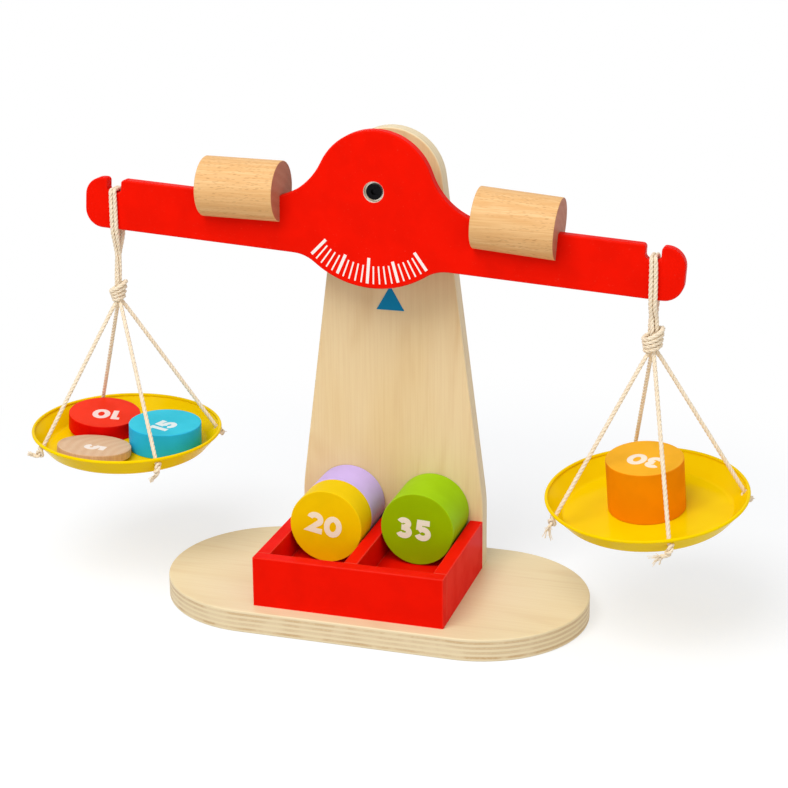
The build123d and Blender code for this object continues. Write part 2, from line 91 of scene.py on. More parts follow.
@dataclass
class Sheet:
    """Adds nodes to one tree and joins them."""

    tree: bpy.types.NodeTree

    def feed(self, socket: Socket, value: object) -> None:
        """Links a socket to the given one, or sets the value on it."""
        if isinstance(value, bpy.types.NodeSocket):
            self.tree.links.new(value, socket)
        else:
            socket.default_value = value

    def add(self, kind: str, settings: dict | None = None, inputs: dict | None = None) -> Node:
        """Adds one node.

        Args:
            kind: The node's type name.
            settings: Attributes to set on the node.
            inputs: Values or sockets for its inputs, by name or number.

        Returns:
            The new node.
        """
        node = self.tree.nodes.new(kind)
        for name, value in (settings or {}).items():
            setattr(node, name, value)
        self.supply(node, inputs or {})
        return node

    def supply(self, node: Node, values: dict) -> None:
        """Feeds several of a node's inputs, by name or number."""
        for name, value in values.items():
            self.feed(node.inputs[name], value)

    def sum(self, operation: str, first: object, second: object = 0.0, clamp: bool = False) -> Socket:
        """The result of a Math node's operation on two numbers, kept from 0 to 1 if asked."""
        kind = "ShaderNodeMath"
        return self.add(kind, {"operation": operation, "use_clamp": clamp}, {0: first, 1: second}).outputs[0]

    def times(self, first: object, second: object) -> Socket:
        """The product of two numbers."""
        return self.sum("MULTIPLY", first, second)

    def plus(self, first: object, second: object) -> Socket:
        """The total of two numbers."""
        return self.sum("ADD", first, second)

    def minus(self, first: object, second: object) -> Socket:
        """The first number less the second."""
        return self.sum("SUBTRACT", first, second)

    def stretched(self, place: object, *shares: float) -> Socket:
        """A place with each of its three parts multiplied by a share."""
        return self.vector("MULTIPLY", place, shares)

    def parts(self, place: object) -> object:
        """The outputs that hold a vector's three parts."""
        return self.add("ShaderNodeSeparateXYZ", None, {"Vector": place}).outputs

    def stain(self, mask: object, share: float, base: object, code: str) -> Socket:
        """A colour with a share of a screen colour laid over it where a mask is 1."""
        return self.mix(self.times(mask, share), base, colour(code))

    def vector(self, operation: str, first: object, second: object) -> Socket:
        """One step of vector arithmetic, whose result's socket is returned."""
        return self.add("ShaderNodeVectorMath", {"operation": operation}, {0: first, 1: second}).outputs[0]

    def scaled(self, way: object, size: object) -> Socket:
        """A vector times a number."""
        return self.add("ShaderNodeVectorMath", {"operation": "SCALE"}, {0: way, "Scale": size}).outputs[0]

    def measure(self, operation: str, first: object, second: object = (0.0, 0.0, 0.0)) -> Socket:
        """The number that a vector operation such as LENGTH or DOT_PRODUCT gives."""
        return self.add("ShaderNodeVectorMath", {"operation": operation}, {0: first, 1: second}).outputs["Value"]

    def ramp(self, value: object, low: float, high: float, to_low: float = 0.0, to_high: float = 1.0) -> Socket:
        """A value eased from the range low to high into the range to_low to to_high."""
        limits = {"Value": value, "From Min": low, "From Max": high, "To Min": to_low, "To Max": to_high}
        return self.add("ShaderNodeMapRange", {"interpolation_type": "SMOOTHSTEP"}, limits).outputs["Result"]

    def noise(self, place: object, scale: float, detail: float = 3.0, twist: float = 0.0) -> Socket:
        """A noise's value: its features to a metre, its finer layers and how much it is distorted."""
        inputs = {"Vector": place, "Scale": scale, "Detail": detail, "Distortion": twist}
        return self.add("ShaderNodeTexNoise", None, inputs).outputs["Fac"]

    def mix(self, mask: object, low: object, high: object) -> Socket:
        """Mixes two colours.

        Args:
            mask: How much of the second shows.
            low: The first colour.
            high: The second colour.

        Returns:
            The mixed colour's socket.
        """
        node = self.add("ShaderNodeMix", {"data_type": "RGBA", "clamp_factor": True})
        self.feed(node.inputs[0], mask)
        self.feed(node.inputs[6], low)
        self.feed(node.inputs[7], high)
        return node.outputs[2]

    def blend(self, mask: object, low: object, high: object) -> Socket:
        """Mixes two numbers."""
        node = self.add("ShaderNodeMix", {"data_type": "FLOAT", "clamp_factor": True})
        self.feed(node.inputs[0], mask)
        self.feed(node.inputs[2], low)
        self.feed(node.inputs[3], high)
        return node.outputs[0]

    def group(self, tree: bpy.types.NodeTree, inputs: dict) -> Node:
        """Places a node group in this tree with its own values."""
        return self.add("ShaderNodeGroup", {"node_tree": tree}, inputs)


def open_tree(kind: str, name: str, inputs: dict[str, tuple[str, object]],
              outputs: dict[str, str]) -> tuple[Sheet, Node, Node]:
    """Starts a node tree with named inputs and outputs.

    Args:
        kind: The tree's type name.
        name: The tree's name.
        inputs: Each input's kind and first value.
        outputs: Each output's kind.

    Returns:
        The sheet to build it on, its input node and its output node.
    """
    tree = bpy.data.node_groups.new(name, kind)
    for label, (socket_kind, value) in inputs.items():
        socket = tree.interface.new_socket(label, in_out="INPUT", socket_type=f"NodeSocket{socket_kind}")
        if value is not None:
            socket.default_value = value
    for label, socket_kind in outputs.items():
        tree.interface.new_socket(label, in_out="OUTPUT", socket_type=f"NodeSocket{socket_kind}")
    sheet = Sheet(tree)
    return sheet, sheet.add("NodeGroupInput"), sheet.add("NodeGroupOutput")


def effect(name: str, inputs: dict[str, tuple[str, object]], *outputs: str) -> tuple[Sheet, Node, Node]:
    """Starts a shader node group whose named outputs are numbers."""
    return open_tree("ShaderNodeTree", name, inputs, dict.fromkeys(outputs, "Float"))


def fibre_effect() -> bpy.types.NodeTree:
    """Turned hardwood whose grain runs along X: fine fibres, narrow growth bands and short dark flecks."""
    inputs = {"Vector": ("Vector", None), "Bands": ("Float", 300.0), "Waviness": ("Float", 1.0)}
    sheet, start, end = effect("Hardwood fibre", inputs, "Fibre", "Band", "Fleck", "Height")
    place = start.outputs["Vector"]
    drawn = sheet.stretched(place, 0.03, 1.0, 1.0)
    fibre = sheet.noise(drawn, 1500.0, 4.0)
    bend = sheet.noise(sheet.stretched(place, 0.12, 1.0, 1.0), 22.0, 2.0)
    across = sheet.parts(place)["Y"]
    pushed = sheet.times(sheet.minus(bend, 0.5), start.outputs["Waviness"])
    ring_at = sheet.plus(sheet.times(across, start.outputs["Bands"]), pushed)
    band = sheet.ramp(sheet.sum("PINGPONG", ring_at, 0.5), 0.0, 0.5)
    cells = {"Vector": sheet.stretched(place, 0.13, 1.0, 1.0), "Scale": 1900.0, "Randomness": 1.0}
    spots = sheet.add("ShaderNodeTexVoronoi", {"feature": "F1"}, cells)
    fleck = sheet.ramp(spots.outputs["Distance"], 0.34, 0.18)
    patch = sheet.ramp(sheet.noise(drawn, 320.0, 2.0), 0.36, 0.56)
    flecks = sheet.times(fleck, patch)
    height = sheet.minus(fibre, sheet.times(flecks, 0.3))
    sheet.supply(end, {"Fibre": sheet.ramp(fibre, 0.3, 0.7), "Band": band, "Fleck": flecks, "Height": height})
    return sheet.tree


def veneer_effect() -> bpy.types.NodeTree:
    """Peeled veneer whose grain runs along X: fine fibres, faint nested arches and soft clouds."""
    inputs = {"Vector": ("Vector", None), "Arches": ("Float", 11.0)}
    sheet, start, end = effect("Veneer face", inputs, "Fibre", "Arch", "Cloud", "Height")
    place = start.outputs["Vector"]
    fibre = sheet.noise(sheet.stretched(place, 0.02, 1.0, 1.0), 1300.0, 4.0)
    slow = sheet.noise(sheet.stretched(place, 0.16, 1.0, 1.0), 17.0, 1.5, 0.15)
    rings = sheet.sum("PINGPONG", sheet.times(slow, start.outputs["Arches"]), 0.5)
    broken = sheet.ramp(sheet.noise(sheet.stretched(place, 0.25, 1.0, 1.0), 70.0, 2.0), 0.35, 0.65)
    arch = sheet.times(sheet.ramp(rings, 0.2, 0.0), broken)
    cloud = sheet.ramp(sheet.noise(sheet.stretched(place, 0.3, 1.0, 1.0), 26.0, 2.0), 0.3, 0.7)
    sheet.supply(end, {"Fibre": sheet.ramp(fibre, 0.38, 0.68), "Arch": arch, "Cloud": cloud, "Height": fibre})
    return sheet.tree


def layer_effect() -> bpy.types.NodeTree:
    """The veneers that show at the edge of plywood, from how deep a place lies in the board."""
    inputs = {"Vector": ("Vector", None), "Depth": ("Float", 0.0), "Layers": ("Float", 9.0)}
    sheet, start, end = effect("Ply layers", inputs, "Dark", "Seam", "Tone", "Height")
    rough = sheet.noise(start.outputs["Vector"], 90.0, 2.0)
    wander = sheet.times(sheet.minus(rough, 0.5), 0.3)
    deep = sheet.plus(sheet.times(start.outputs["Depth"], start.outputs["Layers"]), wander)
    layer = sheet.sum("FLOOR", deep)
    inside = sheet.minus(deep, layer)
    dark = sheet.sum("SNAP", sheet.sum("FLOORED_MODULO", layer, 2.0), 1.0, True)
    tone = sheet.add("ShaderNodeTexWhiteNoise", {"noise_dimensions": "1D"}, {"W": sheet.plus(layer, 0.37)})
    edge = sheet.sum("MINIMUM", inside, sheet.minus(1.0, inside))
    pores = sheet.noise(start.outputs["Vector"], 1900.0, 3.0)
    patch = sheet.ramp(sheet.noise(start.outputs["Vector"], 75.0, 3.0), 0.35, 0.6, 0.35, 1.0)
    grainy = sheet.times(sheet.ramp(pores, 0.3, 0.62, 0.55, 1.0), patch)
    soft_edge = sheet.ramp(edge, 0.0, 0.14)
    sheet.supply(end, {
        "Dark": sheet.times(sheet.times(dark, grainy), soft_edge),
        "Seam": sheet.times(sheet.ramp(edge, 0.09, 0.01), patch),
        "Tone": tone.outputs["Value"],
        "Height": sheet.minus(sheet.times(pores, 0.5), dark),
    })
    return sheet.tree


def film_effect() -> bpy.types.NodeTree:
    """A sprayed paint film: slight waves, the wood's fibre just showing, uneven cover and a few specks."""
    sheet, start, end = effect("Paint film", {"Vector": ("Vector", None)}, "Cover", "Speck", "Height")
    place = start.outputs["Vector"]
    waves = sheet.noise(place, 420.0, 2.0)
    fibre = sheet.noise(sheet.stretched(place, 0.08, 1.0, 1.0), 900.0, 3.0)
    sheet.supply(end, {
        "Cover": sheet.ramp(sheet.noise(place, 55.0, 3.0), 0.35, 0.65),
        "Speck": sheet.ramp(sheet.noise(place, 1100.0, 2.0), 0.68, 0.78),
        "Height": sheet.plus(waves, sheet.times(fibre, 0.35)),
    })
    return sheet.tree


def rim_effect() -> bpy.types.NodeTree:
    """Finds the rounded edges of a piece, where the paint gets a painted highlight."""
    sheet, start, end = effect("Rounded edge", {"Reach": ("Float", 0.8 * MM)}, "Mask")
    eased = sheet.add("ShaderNodeBevel", {"samples": 4}, {"Radius": start.outputs["Reach"]}).outputs["Normal"]
    plain = sheet.add("ShaderNodeNewGeometry").outputs["Normal"]
    sheet.feed(end.inputs["Mask"], sheet.ramp(sheet.measure("DOT_PRODUCT", eased, plain), 0.995, 0.9))
    return sheet.tree


@dataclass(frozen=True)
class Effects:
    """The node groups that the finishes share."""

    fibre: bpy.types.NodeTree = field(default_factory=fibre_effect)
    veneer: bpy.types.NodeTree = field(default_factory=veneer_effect)
    layers: bpy.types.NodeTree = field(default_factory=layer_effect)
    film: bpy.types.NodeTree = field(default_factory=film_effect)
    rim: bpy.types.NodeTree = field(default_factory=rim_effect)


EFFECTS = Effects()


class Grain(Enum):
    """How a piece's grain lies, as the turn that brings it to X."""

    ALONG_X = (0.0, 0.0, 0.0)
    ALONG_Y = (0.0, 0.0, -90.0)
    ALONG_Z = (0.0, 90.0, 0.0)


@dataclass(frozen=True)
class Finish:
    """What every finish has: a name, the depth of its bumps, and a way to make its material."""

    name: str
    relief: float = 0.1 * MM

    def begin(self, shine: float = 0.5) -> tuple[bpy.types.Material, Sheet, Node]:
        """Starts the material, with only a Principled shader in it.

        Args:
            shine: The shader's specular level.

        Returns:
            The material, its sheet and its shader.
        """
        material = bpy.data.materials.new(self.name)
        material.use_nodes = True
        material.node_tree.nodes.clear()
        sheet = Sheet(material.node_tree)
        shader = sheet.add("ShaderNodeBsdfPrincipled")
        shader.inputs["Specular IOR Level"].default_value = shine
        output = sheet.add("ShaderNodeOutputMaterial")
        sheet.feed(output.inputs["Surface"], shader.outputs["BSDF"])
        return material, sheet, shader

    def bump(self, sheet: Sheet, shader: Node, height: Socket, strength: float) -> None:
        """Gives the shader a bump of a strength up to 1, where a height of 1 stands out by the relief."""
        inputs = {"Height": height, "Strength": strength, "Distance": self.relief}
        sheet.feed(shader.inputs["Normal"], sheet.add("ShaderNodeBump", None, inputs).outputs["Normal"])

    def calmed(self, sheet: Sheet, skin: Socket, share: float) -> Socket:
        """A colour that is nearer to grey in the light that it throws on other things.

        Args:
            sheet: The material's sheet.
            skin: The colour's socket.
            share: How much of the tint is taken out of the thrown light.

        Returns:
            The colour's socket.
        """
        thrown = sheet.add("ShaderNodeLightPath").outputs["Is Diffuse Ray"]
        grey = sheet.add("ShaderNodeRGBToBW", None, {"Color": skin}).outputs[0]
        return sheet.mix(sheet.times(thrown, share), skin, grey)

    def place(self, sheet: Sheet, turn: tuple[float, float, float] = (0.0, 0.0, 0.0), shift: float = 0.0) -> Socket:
        """The object's own coordinates, turned so that the grain lies along X, and shifted."""
        spot = sheet.add("ShaderNodeTexCoord").outputs["Object"]
        inputs = {
            "Vector": spot,
            "Rotation": tuple(math.radians(angle) for angle in turn),
            "Location": (shift, shift, shift),
        }
        return sheet.add("ShaderNodeMapping", {"vector_type": "POINT"}, inputs).outputs["Vector"]

    def build(self) -> bpy.types.Material:
        """Makes the material."""
        raise NotImplementedError


@dataclass(frozen=True)
class Plywood(Finish):
    """Clear-lacquered plywood: peeled veneer on its faces and the plies at its edges."""

    grain: Grain = Grain.ALONG_X
    thin_axis: int = 2
    low: float = 0.0
    thickness: float = 12 * MM
    layers: float = 9.0
    pale: str = "efd6a6"
    warm: str = "e9cb92"
    line: str = "d8b078"
    edge_pale: str = "efdcb4"
    edge_dark: str = "ceaa7b"
    seam: str = "a47c50"
    edge_share: float = 1.0
    shift: float = 0.013

    def build(self) -> bpy.types.Material:
        """Makes the material."""
        material, sheet, shader = self.begin(0.32)
        veneer = sheet.group(EFFECTS.veneer, {"Vector": self.place(sheet, self.grain.value, self.shift)}).outputs
        face = sheet.stain(veneer["Cloud"], 0.7, colour(self.pale), self.warm)
        face = sheet.stain(veneer["Arch"], 0.3, face, self.line)
        face = sheet.stain(veneer["Fibre"], 0.15, face, self.line)
        spot = sheet.add("ShaderNodeTexCoord")
        inward = sheet.minus(sheet.parts(spot.outputs["Object"])[self.thin_axis], self.low)
        deep = sheet.sum("DIVIDE", inward, self.thickness)
        ply = sheet.group(EFFECTS.layers, {"Vector": spot.outputs["Object"], "Depth": deep, "Layers": self.layers})
        uneven = sheet.ramp(ply.outputs["Tone"], 0.0, 1.0, 0.55, 1.0)
        dark = sheet.times(sheet.times(ply.outputs["Dark"], uneven), self.edge_share)
        edge = sheet.mix(dark, colour(self.edge_pale), colour(self.edge_dark))
        edge = sheet.stain(ply.outputs["Seam"], 0.4 * self.edge_share, edge, self.seam)
        facing = sheet.parts(spot.outputs["Normal"])[self.thin_axis]
        at_edge = sheet.ramp(sheet.sum("ABSOLUTE", facing), 0.9, 0.6)
        sheet.supply(shader, {
            "Base Color": self.calmed(sheet, sheet.mix(at_edge, face, edge), 0.5),
            "Roughness": sheet.ramp(veneer["Fibre"], 0.0, 1.0, 0.4, 0.52),
        })
        height = sheet.blend(at_edge, veneer["Height"], ply.outputs["Height"])
        self.bump(sheet, shader, height, 0.35)
        return material


@dataclass(frozen=True)
class Beech(Finish):
    """Bare beech: tan with short dark flecks, darker where the grain ends."""

    relief: float = 0.15 * MM
    grain: Grain = Grain.ALONG_X
    end_axis: int = 0
    light: str = "f2c68c"
    tan: str = "e0a868"
    fleck: str = "a5672f"
    end: str = "b9755a"
    end_light: str = "c38468"

    def build(self) -> bpy.types.Material:
        """Makes the material."""
        material, sheet, shader = self.begin(0.25)
        place = self.place(sheet, self.grain.value, 0.021)
        fibre = sheet.group(EFFECTS.fibre, {"Vector": place, "Bands": 260.0, "Waviness": 4.0}).outputs
        long_side = sheet.stain(fibre["Band"], 0.45, colour(self.light), self.tan)
        long_side = sheet.stain(fibre["Fibre"], 0.7, long_side, self.tan)
        long_side = sheet.stain(fibre["Fleck"], 0.5, long_side, self.fleck)
        rings_at = sheet.stretched(place, 0.0, 1.0, 0.45)
        swirl = sheet.noise(rings_at, 60.0, 2.0, 0.4)
        rings = sheet.times(sheet.measure("LENGTH", rings_at), 420.0)
        rings = sheet.sum("PINGPONG", sheet.plus(rings, swirl), 0.5)
        pores = sheet.noise(place, 2400.0, 2.0)
        end_grain = sheet.mix(sheet.ramp(rings, 0.05, 0.5, 0.0, 0.5), colour(self.end), colour(self.end_light))
        end_grain = sheet.mix(sheet.ramp(pores, 0.55, 0.7, 0.0, 0.25), end_grain, colour(self.fleck))
        facing = sheet.parts(sheet.add("ShaderNodeTexCoord").outputs["Normal"])[self.end_axis]
        at_end = sheet.ramp(sheet.sum("ABSOLUTE", facing), 0.75, 0.95)
        sheet.supply(shader, {
            "Base Color": sheet.mix(at_end, long_side, end_grain),
            "Roughness": sheet.ramp(fibre["Fibre"], 0.0, 1.0, 0.5, 0.64),
        })
        self.bump(sheet, shader, fibre["Height"], 0.4)
        return material


@dataclass(frozen=True)
class Paint(Finish):
    """Opaque paint on wood, with a painted highlight lightening its rounded edges."""

    relief: float = 0.05 * MM
    shade: str = "f51402"
    # A pale colour for the paint's specks and for the painted highlight on its rounded edges.
    thin: str = "ff8a72"
    roughness: float = 0.4
    shine: float = 0.02
    grain: Grain = Grain.ALONG_X
    rim_reach: float = 0.7 * MM
    rim_share: float = 0.45

    def flat_colour(self, sheet: Sheet) -> object:
        """The colour that the paint was mixed to, all over."""
        return colour(self.shade)

    def body_colour(self, sheet: Sheet, film: Node) -> Socket:
        """The paint's colour, uneven by a very little, with a painted highlight on the rounded edges."""
        rim = sheet.group(EFFECTS.rim, {"Reach": self.rim_reach}).outputs["Mask"]
        base = self.flat_colour(sheet)
        deeper = sheet.mix(0.14, base, colour("000000"))
        flat = sheet.mix(sheet.times(film.outputs["Cover"], 0.5), base, deeper)
        flat = sheet.stain(film.outputs["Speck"], 0.12, flat, self.thin)
        # Painted highlight: the rounded edges are lightened towards the pale colour, standing in for the light they
        # catch.
        return sheet.stain(rim, self.rim_share, flat, self.thin)

    def build(self) -> bpy.types.Material:
        """Makes the material."""
        material, sheet, shader = self.begin(self.shine)
        film = sheet.group(EFFECTS.film, {"Vector": self.place(sheet, self.grain.value, 0.05)})
        sheet.supply(shader, {
            "Base Color": self.calmed(sheet, self.body_colour(sheet, film), 0.3),
            "Roughness": sheet.ramp(film.outputs["Cover"], 0.0, 1.0, self.roughness - 0.03, self.roughness + 0.04),
        })
        self.bump(sheet, shader, film.outputs["Height"], 0.25)
        return material


@dataclass(frozen=True)
class DiscPaint(Paint):
    """A weight's satin paint, of another colour on its two faces: partly the end grain's deeper paint and partly
    painted light, lighter on faces that look up and darker on faces that look forward.
    """

    # The faces' colour: partly the end grain's paint, partly painted light from how the faces sit to the lamps.
    face_shade: str = "f51402"
    axis: Vector = field(default_factory=Vector)

    def flat_colour(self, sheet: Sheet) -> object:
        """The paint's colour on the faces or round the side; the faces' colour holds painted light as well as paint.
        """
        facing = sheet.add("ShaderNodeTexCoord").outputs["Normal"]
        towards = sheet.sum("ABSOLUTE", sheet.measure("DOT_PRODUCT", facing, tuple(self.axis)))
        return sheet.mix(sheet.ramp(towards, 0.6, 0.9), colour(self.shade), colour(self.face_shade))


@dataclass(frozen=True)
class BeamPaint(Paint):
    """The beam's paint, with bare ply inside the recess of its pivot, drawn near white as painted light against the
    recess's shade.
    """

    pivot: Vector = field(default_factory=Vector)
    recess_radius: float = 5.5 * MM
    recess_blur: float = 0.06 * MM
    ply_pair: float = 1.3 * MM
    # The bare ply's two tones are lightened near white, painted light that offsets the shade in the recess.
    bare: str = "fff8ec"
    bare_dark: str = "f3e3c8"

    def body_colour(self, sheet: Sheet, film: Node) -> Socket:
        """The paint's colour, or inside the recess the wood's, lightened near white as painted light."""
        painted = super().body_colour(sheet, film)
        spot = sheet.add("ShaderNodeTexCoord").outputs["Object"]
        off = sheet.stretched(sheet.vector("SUBTRACT", spot, tuple(self.pivot)), 1.0, 0.0, 1.0)
        plies = sheet.times(sheet.parts(spot)["Y"], 1 / self.ply_pair)
        stripes = sheet.ramp(sheet.sum("PINGPONG", plies, 0.5), 0.15, 0.35)
        wood = sheet.mix(stripes, colour(self.bare), colour(self.bare_dark))
        inside = sheet.ramp(sheet.measure("LENGTH", off), self.recess_radius, self.recess_radius - self.recess_blur)
        return sheet.mix(inside, painted, wood)


@dataclass(frozen=True)
class Enamel(Finish):
    """Gloss enamel on pressed sheet steel."""

    shade: str = "fdd802"
    deep: str = "f4c800"

    def build(self) -> bpy.types.Material:
        """Makes the material."""
        material, sheet, shader = self.begin(0.02)
        place = self.place(sheet)
        cloud = sheet.ramp(sheet.noise(place, 30.0, 2.0), 0.35, 0.65)
        sheet.supply(shader, {
            "Base Color": sheet.stain(cloud, 0.5, colour(self.shade), self.deep),
            "Roughness": sheet.ramp(sheet.noise(place, 240.0, 2.0), 0.3, 0.7, 0.16, 0.22),
        })
        self.bump(sheet, shader, sheet.noise(place, 130.0, 2.0), 0.25)
        return material


@dataclass(frozen=True)
class Ink(Finish):
    """Flat printed ink, a little worn."""

    relief: float = 0.03 * MM
    shade: str = "fdf2ec"
    worn: str = "f0d8d0"

    def build(self) -> bpy.types.Material:
        """Makes the material."""
        material, sheet, shader = self.begin(0.12)
        speck = sheet.ramp(sheet.noise(self.place(sheet), 1800.0, 3.0), 0.55, 0.75)
        sheet.supply(shader, {
            "Base Color": sheet.stain(speck, 0.6, colour(self.shade), self.worn),
            "Roughness": sheet.ramp(speck, 0.0, 1.0, 0.5, 0.65),
        })
        self.bump(sheet, shader, speck, 0.2)
        return material


@dataclass(frozen=True)
class Nylon(Finish):
    """Moulded nylon, slightly cloudy, with a painted glow that lightens it in the pivot's shaded recess."""

    relief: float = 0.03 * MM
    shade: str = "fffcf6"
    cloud: str = "f4ecdf"
    glow: float = 0.35

    def build(self) -> bpy.types.Material:
        """Makes the material."""
        material, sheet, shader = self.begin(0.4)
        place = self.place(sheet)
        mist = sheet.noise(place, 700.0, 3.0)
        skin = sheet.mix(sheet.ramp(mist, 0.35, 0.65), colour(self.shade), colour(self.cloud))
        rough = sheet.ramp(mist, 0.3, 0.7, 0.38, 0.5)
        sheet.supply(shader, {"Base Color": skin, "Roughness": rough, "Emission Color": skin})
        # Painted glow: the nylon gives off a little of its own colour, though it is no lamp.
        shader.inputs["Emission Strength"].default_value = self.glow
        self.bump(sheet, shader, sheet.noise(place, 2500.0, 2.0), 0.2)
        return material


@dataclass(frozen=True)
class Steel(Finish):
    """Plated or blackened steel of a fastener, with fine turning marks."""

    relief: float = 0.04 * MM
    shade: str = "b9bcc0"
    roughness: float = 0.3

    def build(self) -> bpy.types.Material:
        """Makes the material."""
        material, sheet, shader = self.begin()
        marks = sheet.noise(sheet.stretched(self.place(sheet), 1.0, 8.0, 1.0), 900.0, 2.0)
        darker = blended(self.shade, "000000", 0.18)
        sheet.supply(shader, {
            "Base Color": sheet.mix(sheet.ramp(marks, 0.4, 0.7), colour(self.shade), colour(darker)),
            "Metallic": 1.0,
            "Roughness": sheet.ramp(marks, 0.3, 0.7, self.roughness, self.roughness + 0.12),
        })
        self.bump(sheet, shader, marks, 0.2)
        return material


@dataclass(frozen=True)
class Cotton(Finish):
    """Undyed twisted cotton, with its yarns' small hairs, and painted shade that darkens its grooves."""

    relief: float = 0.12 * MM
    shade: str = "fcecd2"
    # A darker tone for the yarn's patches and fuzz, and for the painted shade in its grooves.
    groove: str = "d9be92"
    groove_reach: float = 0.7 * MM

    def build(self) -> bpy.types.Material:
        """Makes the material."""
        material, sheet, shader = self.begin(0.2)
        place = self.place(sheet)
        fuzz = sheet.noise(place, 3200.0, 3.0)
        patch = sheet.ramp(sheet.noise(place, 260.0, 2.0), 0.35, 0.65)
        hollow = {"Distance": self.groove_reach}
        shadow = sheet.add("ShaderNodeAmbientOcclusion", {"samples": 6}, hollow).outputs["AO"]
        yarn = sheet.stain(patch, 0.2, colour(self.shade), self.groove)
        yarn = sheet.mix(sheet.ramp(fuzz, 0.45, 0.75, 0.0, 0.25), yarn, colour(self.groove))
        sheet.supply(shader, {
            # Painted shade: where ambient occlusion finds hollows between the plies, the yarn is darkened to the
            # groove colour.
            "Base Color": sheet.mix(sheet.ramp(shadow, 0.2, 0.7), colour(self.groove), yarn),
            "Roughness": sheet.ramp(fuzz, 0.0, 1.0, 0.82, 0.98),
            "Sheen Weight": 0.2,
            "Sheen Roughness": 0.5,
        })
        self.bump(sheet, shader, fuzz, 0.6)
        return material


def dress(node: str, material: bpy.types.Material) -> Piece:
    """Gives a solid of the frame its finish.

    Args:
        node: The solid's name.
        material: Its material.

    Returns:
        The solid's object.
    """
    piece = frame["nodes"][node]
    piece.data.materials.clear()
    piece.data.materials.append(material)
    LOG.info("dressed %s in %s", node, material.name)
    return piece


def new_piece(name: str, data: object) -> Piece:
    """Links a mesh, a curve, a lamp or a camera to the scene as an object at the origin."""
    piece = bpy.data.objects.new(name, data)
    bpy.context.scene.collection.objects.link(piece)
    return piece


def settled(piece: Piece, name: str) -> Piece:
    """Turns a piece's evaluated shape into a plain mesh and removes the piece that made it.

    Args:
        piece: The object with its modifiers.
        name: The name of the plain piece.

    Returns:
        The plain piece.
    """
    graph = bpy.context.evaluated_depsgraph_get()
    graph.update()
    mesh = bpy.data.meshes.new_from_object(piece.evaluated_get(graph))
    mesh.name = name
    bpy.data.objects.remove(piece)
    return new_piece(name, mesh)


def joined(name: str, pieces: list[Piece]) -> Piece:
    """Makes one plain piece of several, with the materials of the first."""
    mesh = bmesh.new()
    for piece in pieces:
        mesh.from_mesh(piece.data)
    data = bpy.data.meshes.new(name)
    mesh.to_mesh(data)
    mesh.free()
    for material in pieces[0].data.materials:
        data.materials.append(material)
    for piece in pieces:
        bpy.data.objects.remove(piece)
    return new_piece(name, data)


def geometry_tree(name: str, inputs: dict[str, tuple[str, object]]) -> tuple[Sheet, Node, Node]:
    """Starts a Geometry Nodes tree with named inputs beside its geometry."""
    return open_tree("GeometryNodeTree", name, {"Geometry": ("Geometry", None), **inputs}, {"Geometry": "Geometry"})


def close_tree(sheet: Sheet, end: Node, shape: Socket, material: bpy.types.Material) -> None:
    """Ends a tree in real faces with a material."""
    real = sheet.add("GeometryNodeRealizeInstances", None, {"Geometry": shape})
    dressed = sheet.add("GeometryNodeSetMaterial", None, {"Geometry": real.outputs[0], "Material": material})
    sheet.feed(end.inputs["Geometry"], dressed.outputs[0])


def run_tree(piece: Piece, sheet: Sheet, name: str, values: dict[str, float] | None = None) -> Piece:
    """Runs a tree on a piece.

    Args:
        piece: The object that the tree starts from.
        sheet: The tree's sheet.
        name: The result's name.
        values: Values for the tree's inputs, by name.

    Returns:
        The plain mesh piece.
    """
    modifier = piece.modifiers.new(sheet.tree.name, "NODES")
    modifier.node_group = sheet.tree
    for item in sheet.tree.interface.items_tree:
        if item.item_type == "SOCKET" and item.in_out == "INPUT" and item.name in (values or {}):
            modifier[item.identifier] = values[item.name]
    return settled(piece, name)


def skinned(sheet: Sheet, line: Socket, radius: object, sides: int, thickness: object) -> Socket:
    """A smooth tube with closed ends round every line.

    Args:
        sheet: The tree's sheet.
        line: The lines.
        radius: The tube's radius.
        sides: How many faces it has round it.
        thickness: What the radius is multiplied by at each point.

    Returns:
        The tube's socket.
    """
    ring = sheet.add("GeometryNodeCurvePrimitiveCircle", None, {"Resolution": sides, "Radius": radius})
    inputs = {"Curve": line, "Profile Curve": ring.outputs[0], "Scale": thickness, "Fill Caps": True}
    tube = sheet.add("GeometryNodeCurveToMesh", None, inputs)
    return sheet.add("GeometryNodeSetShadeSmooth", None, {"Geometry": tube.outputs[0]}).outputs[0]


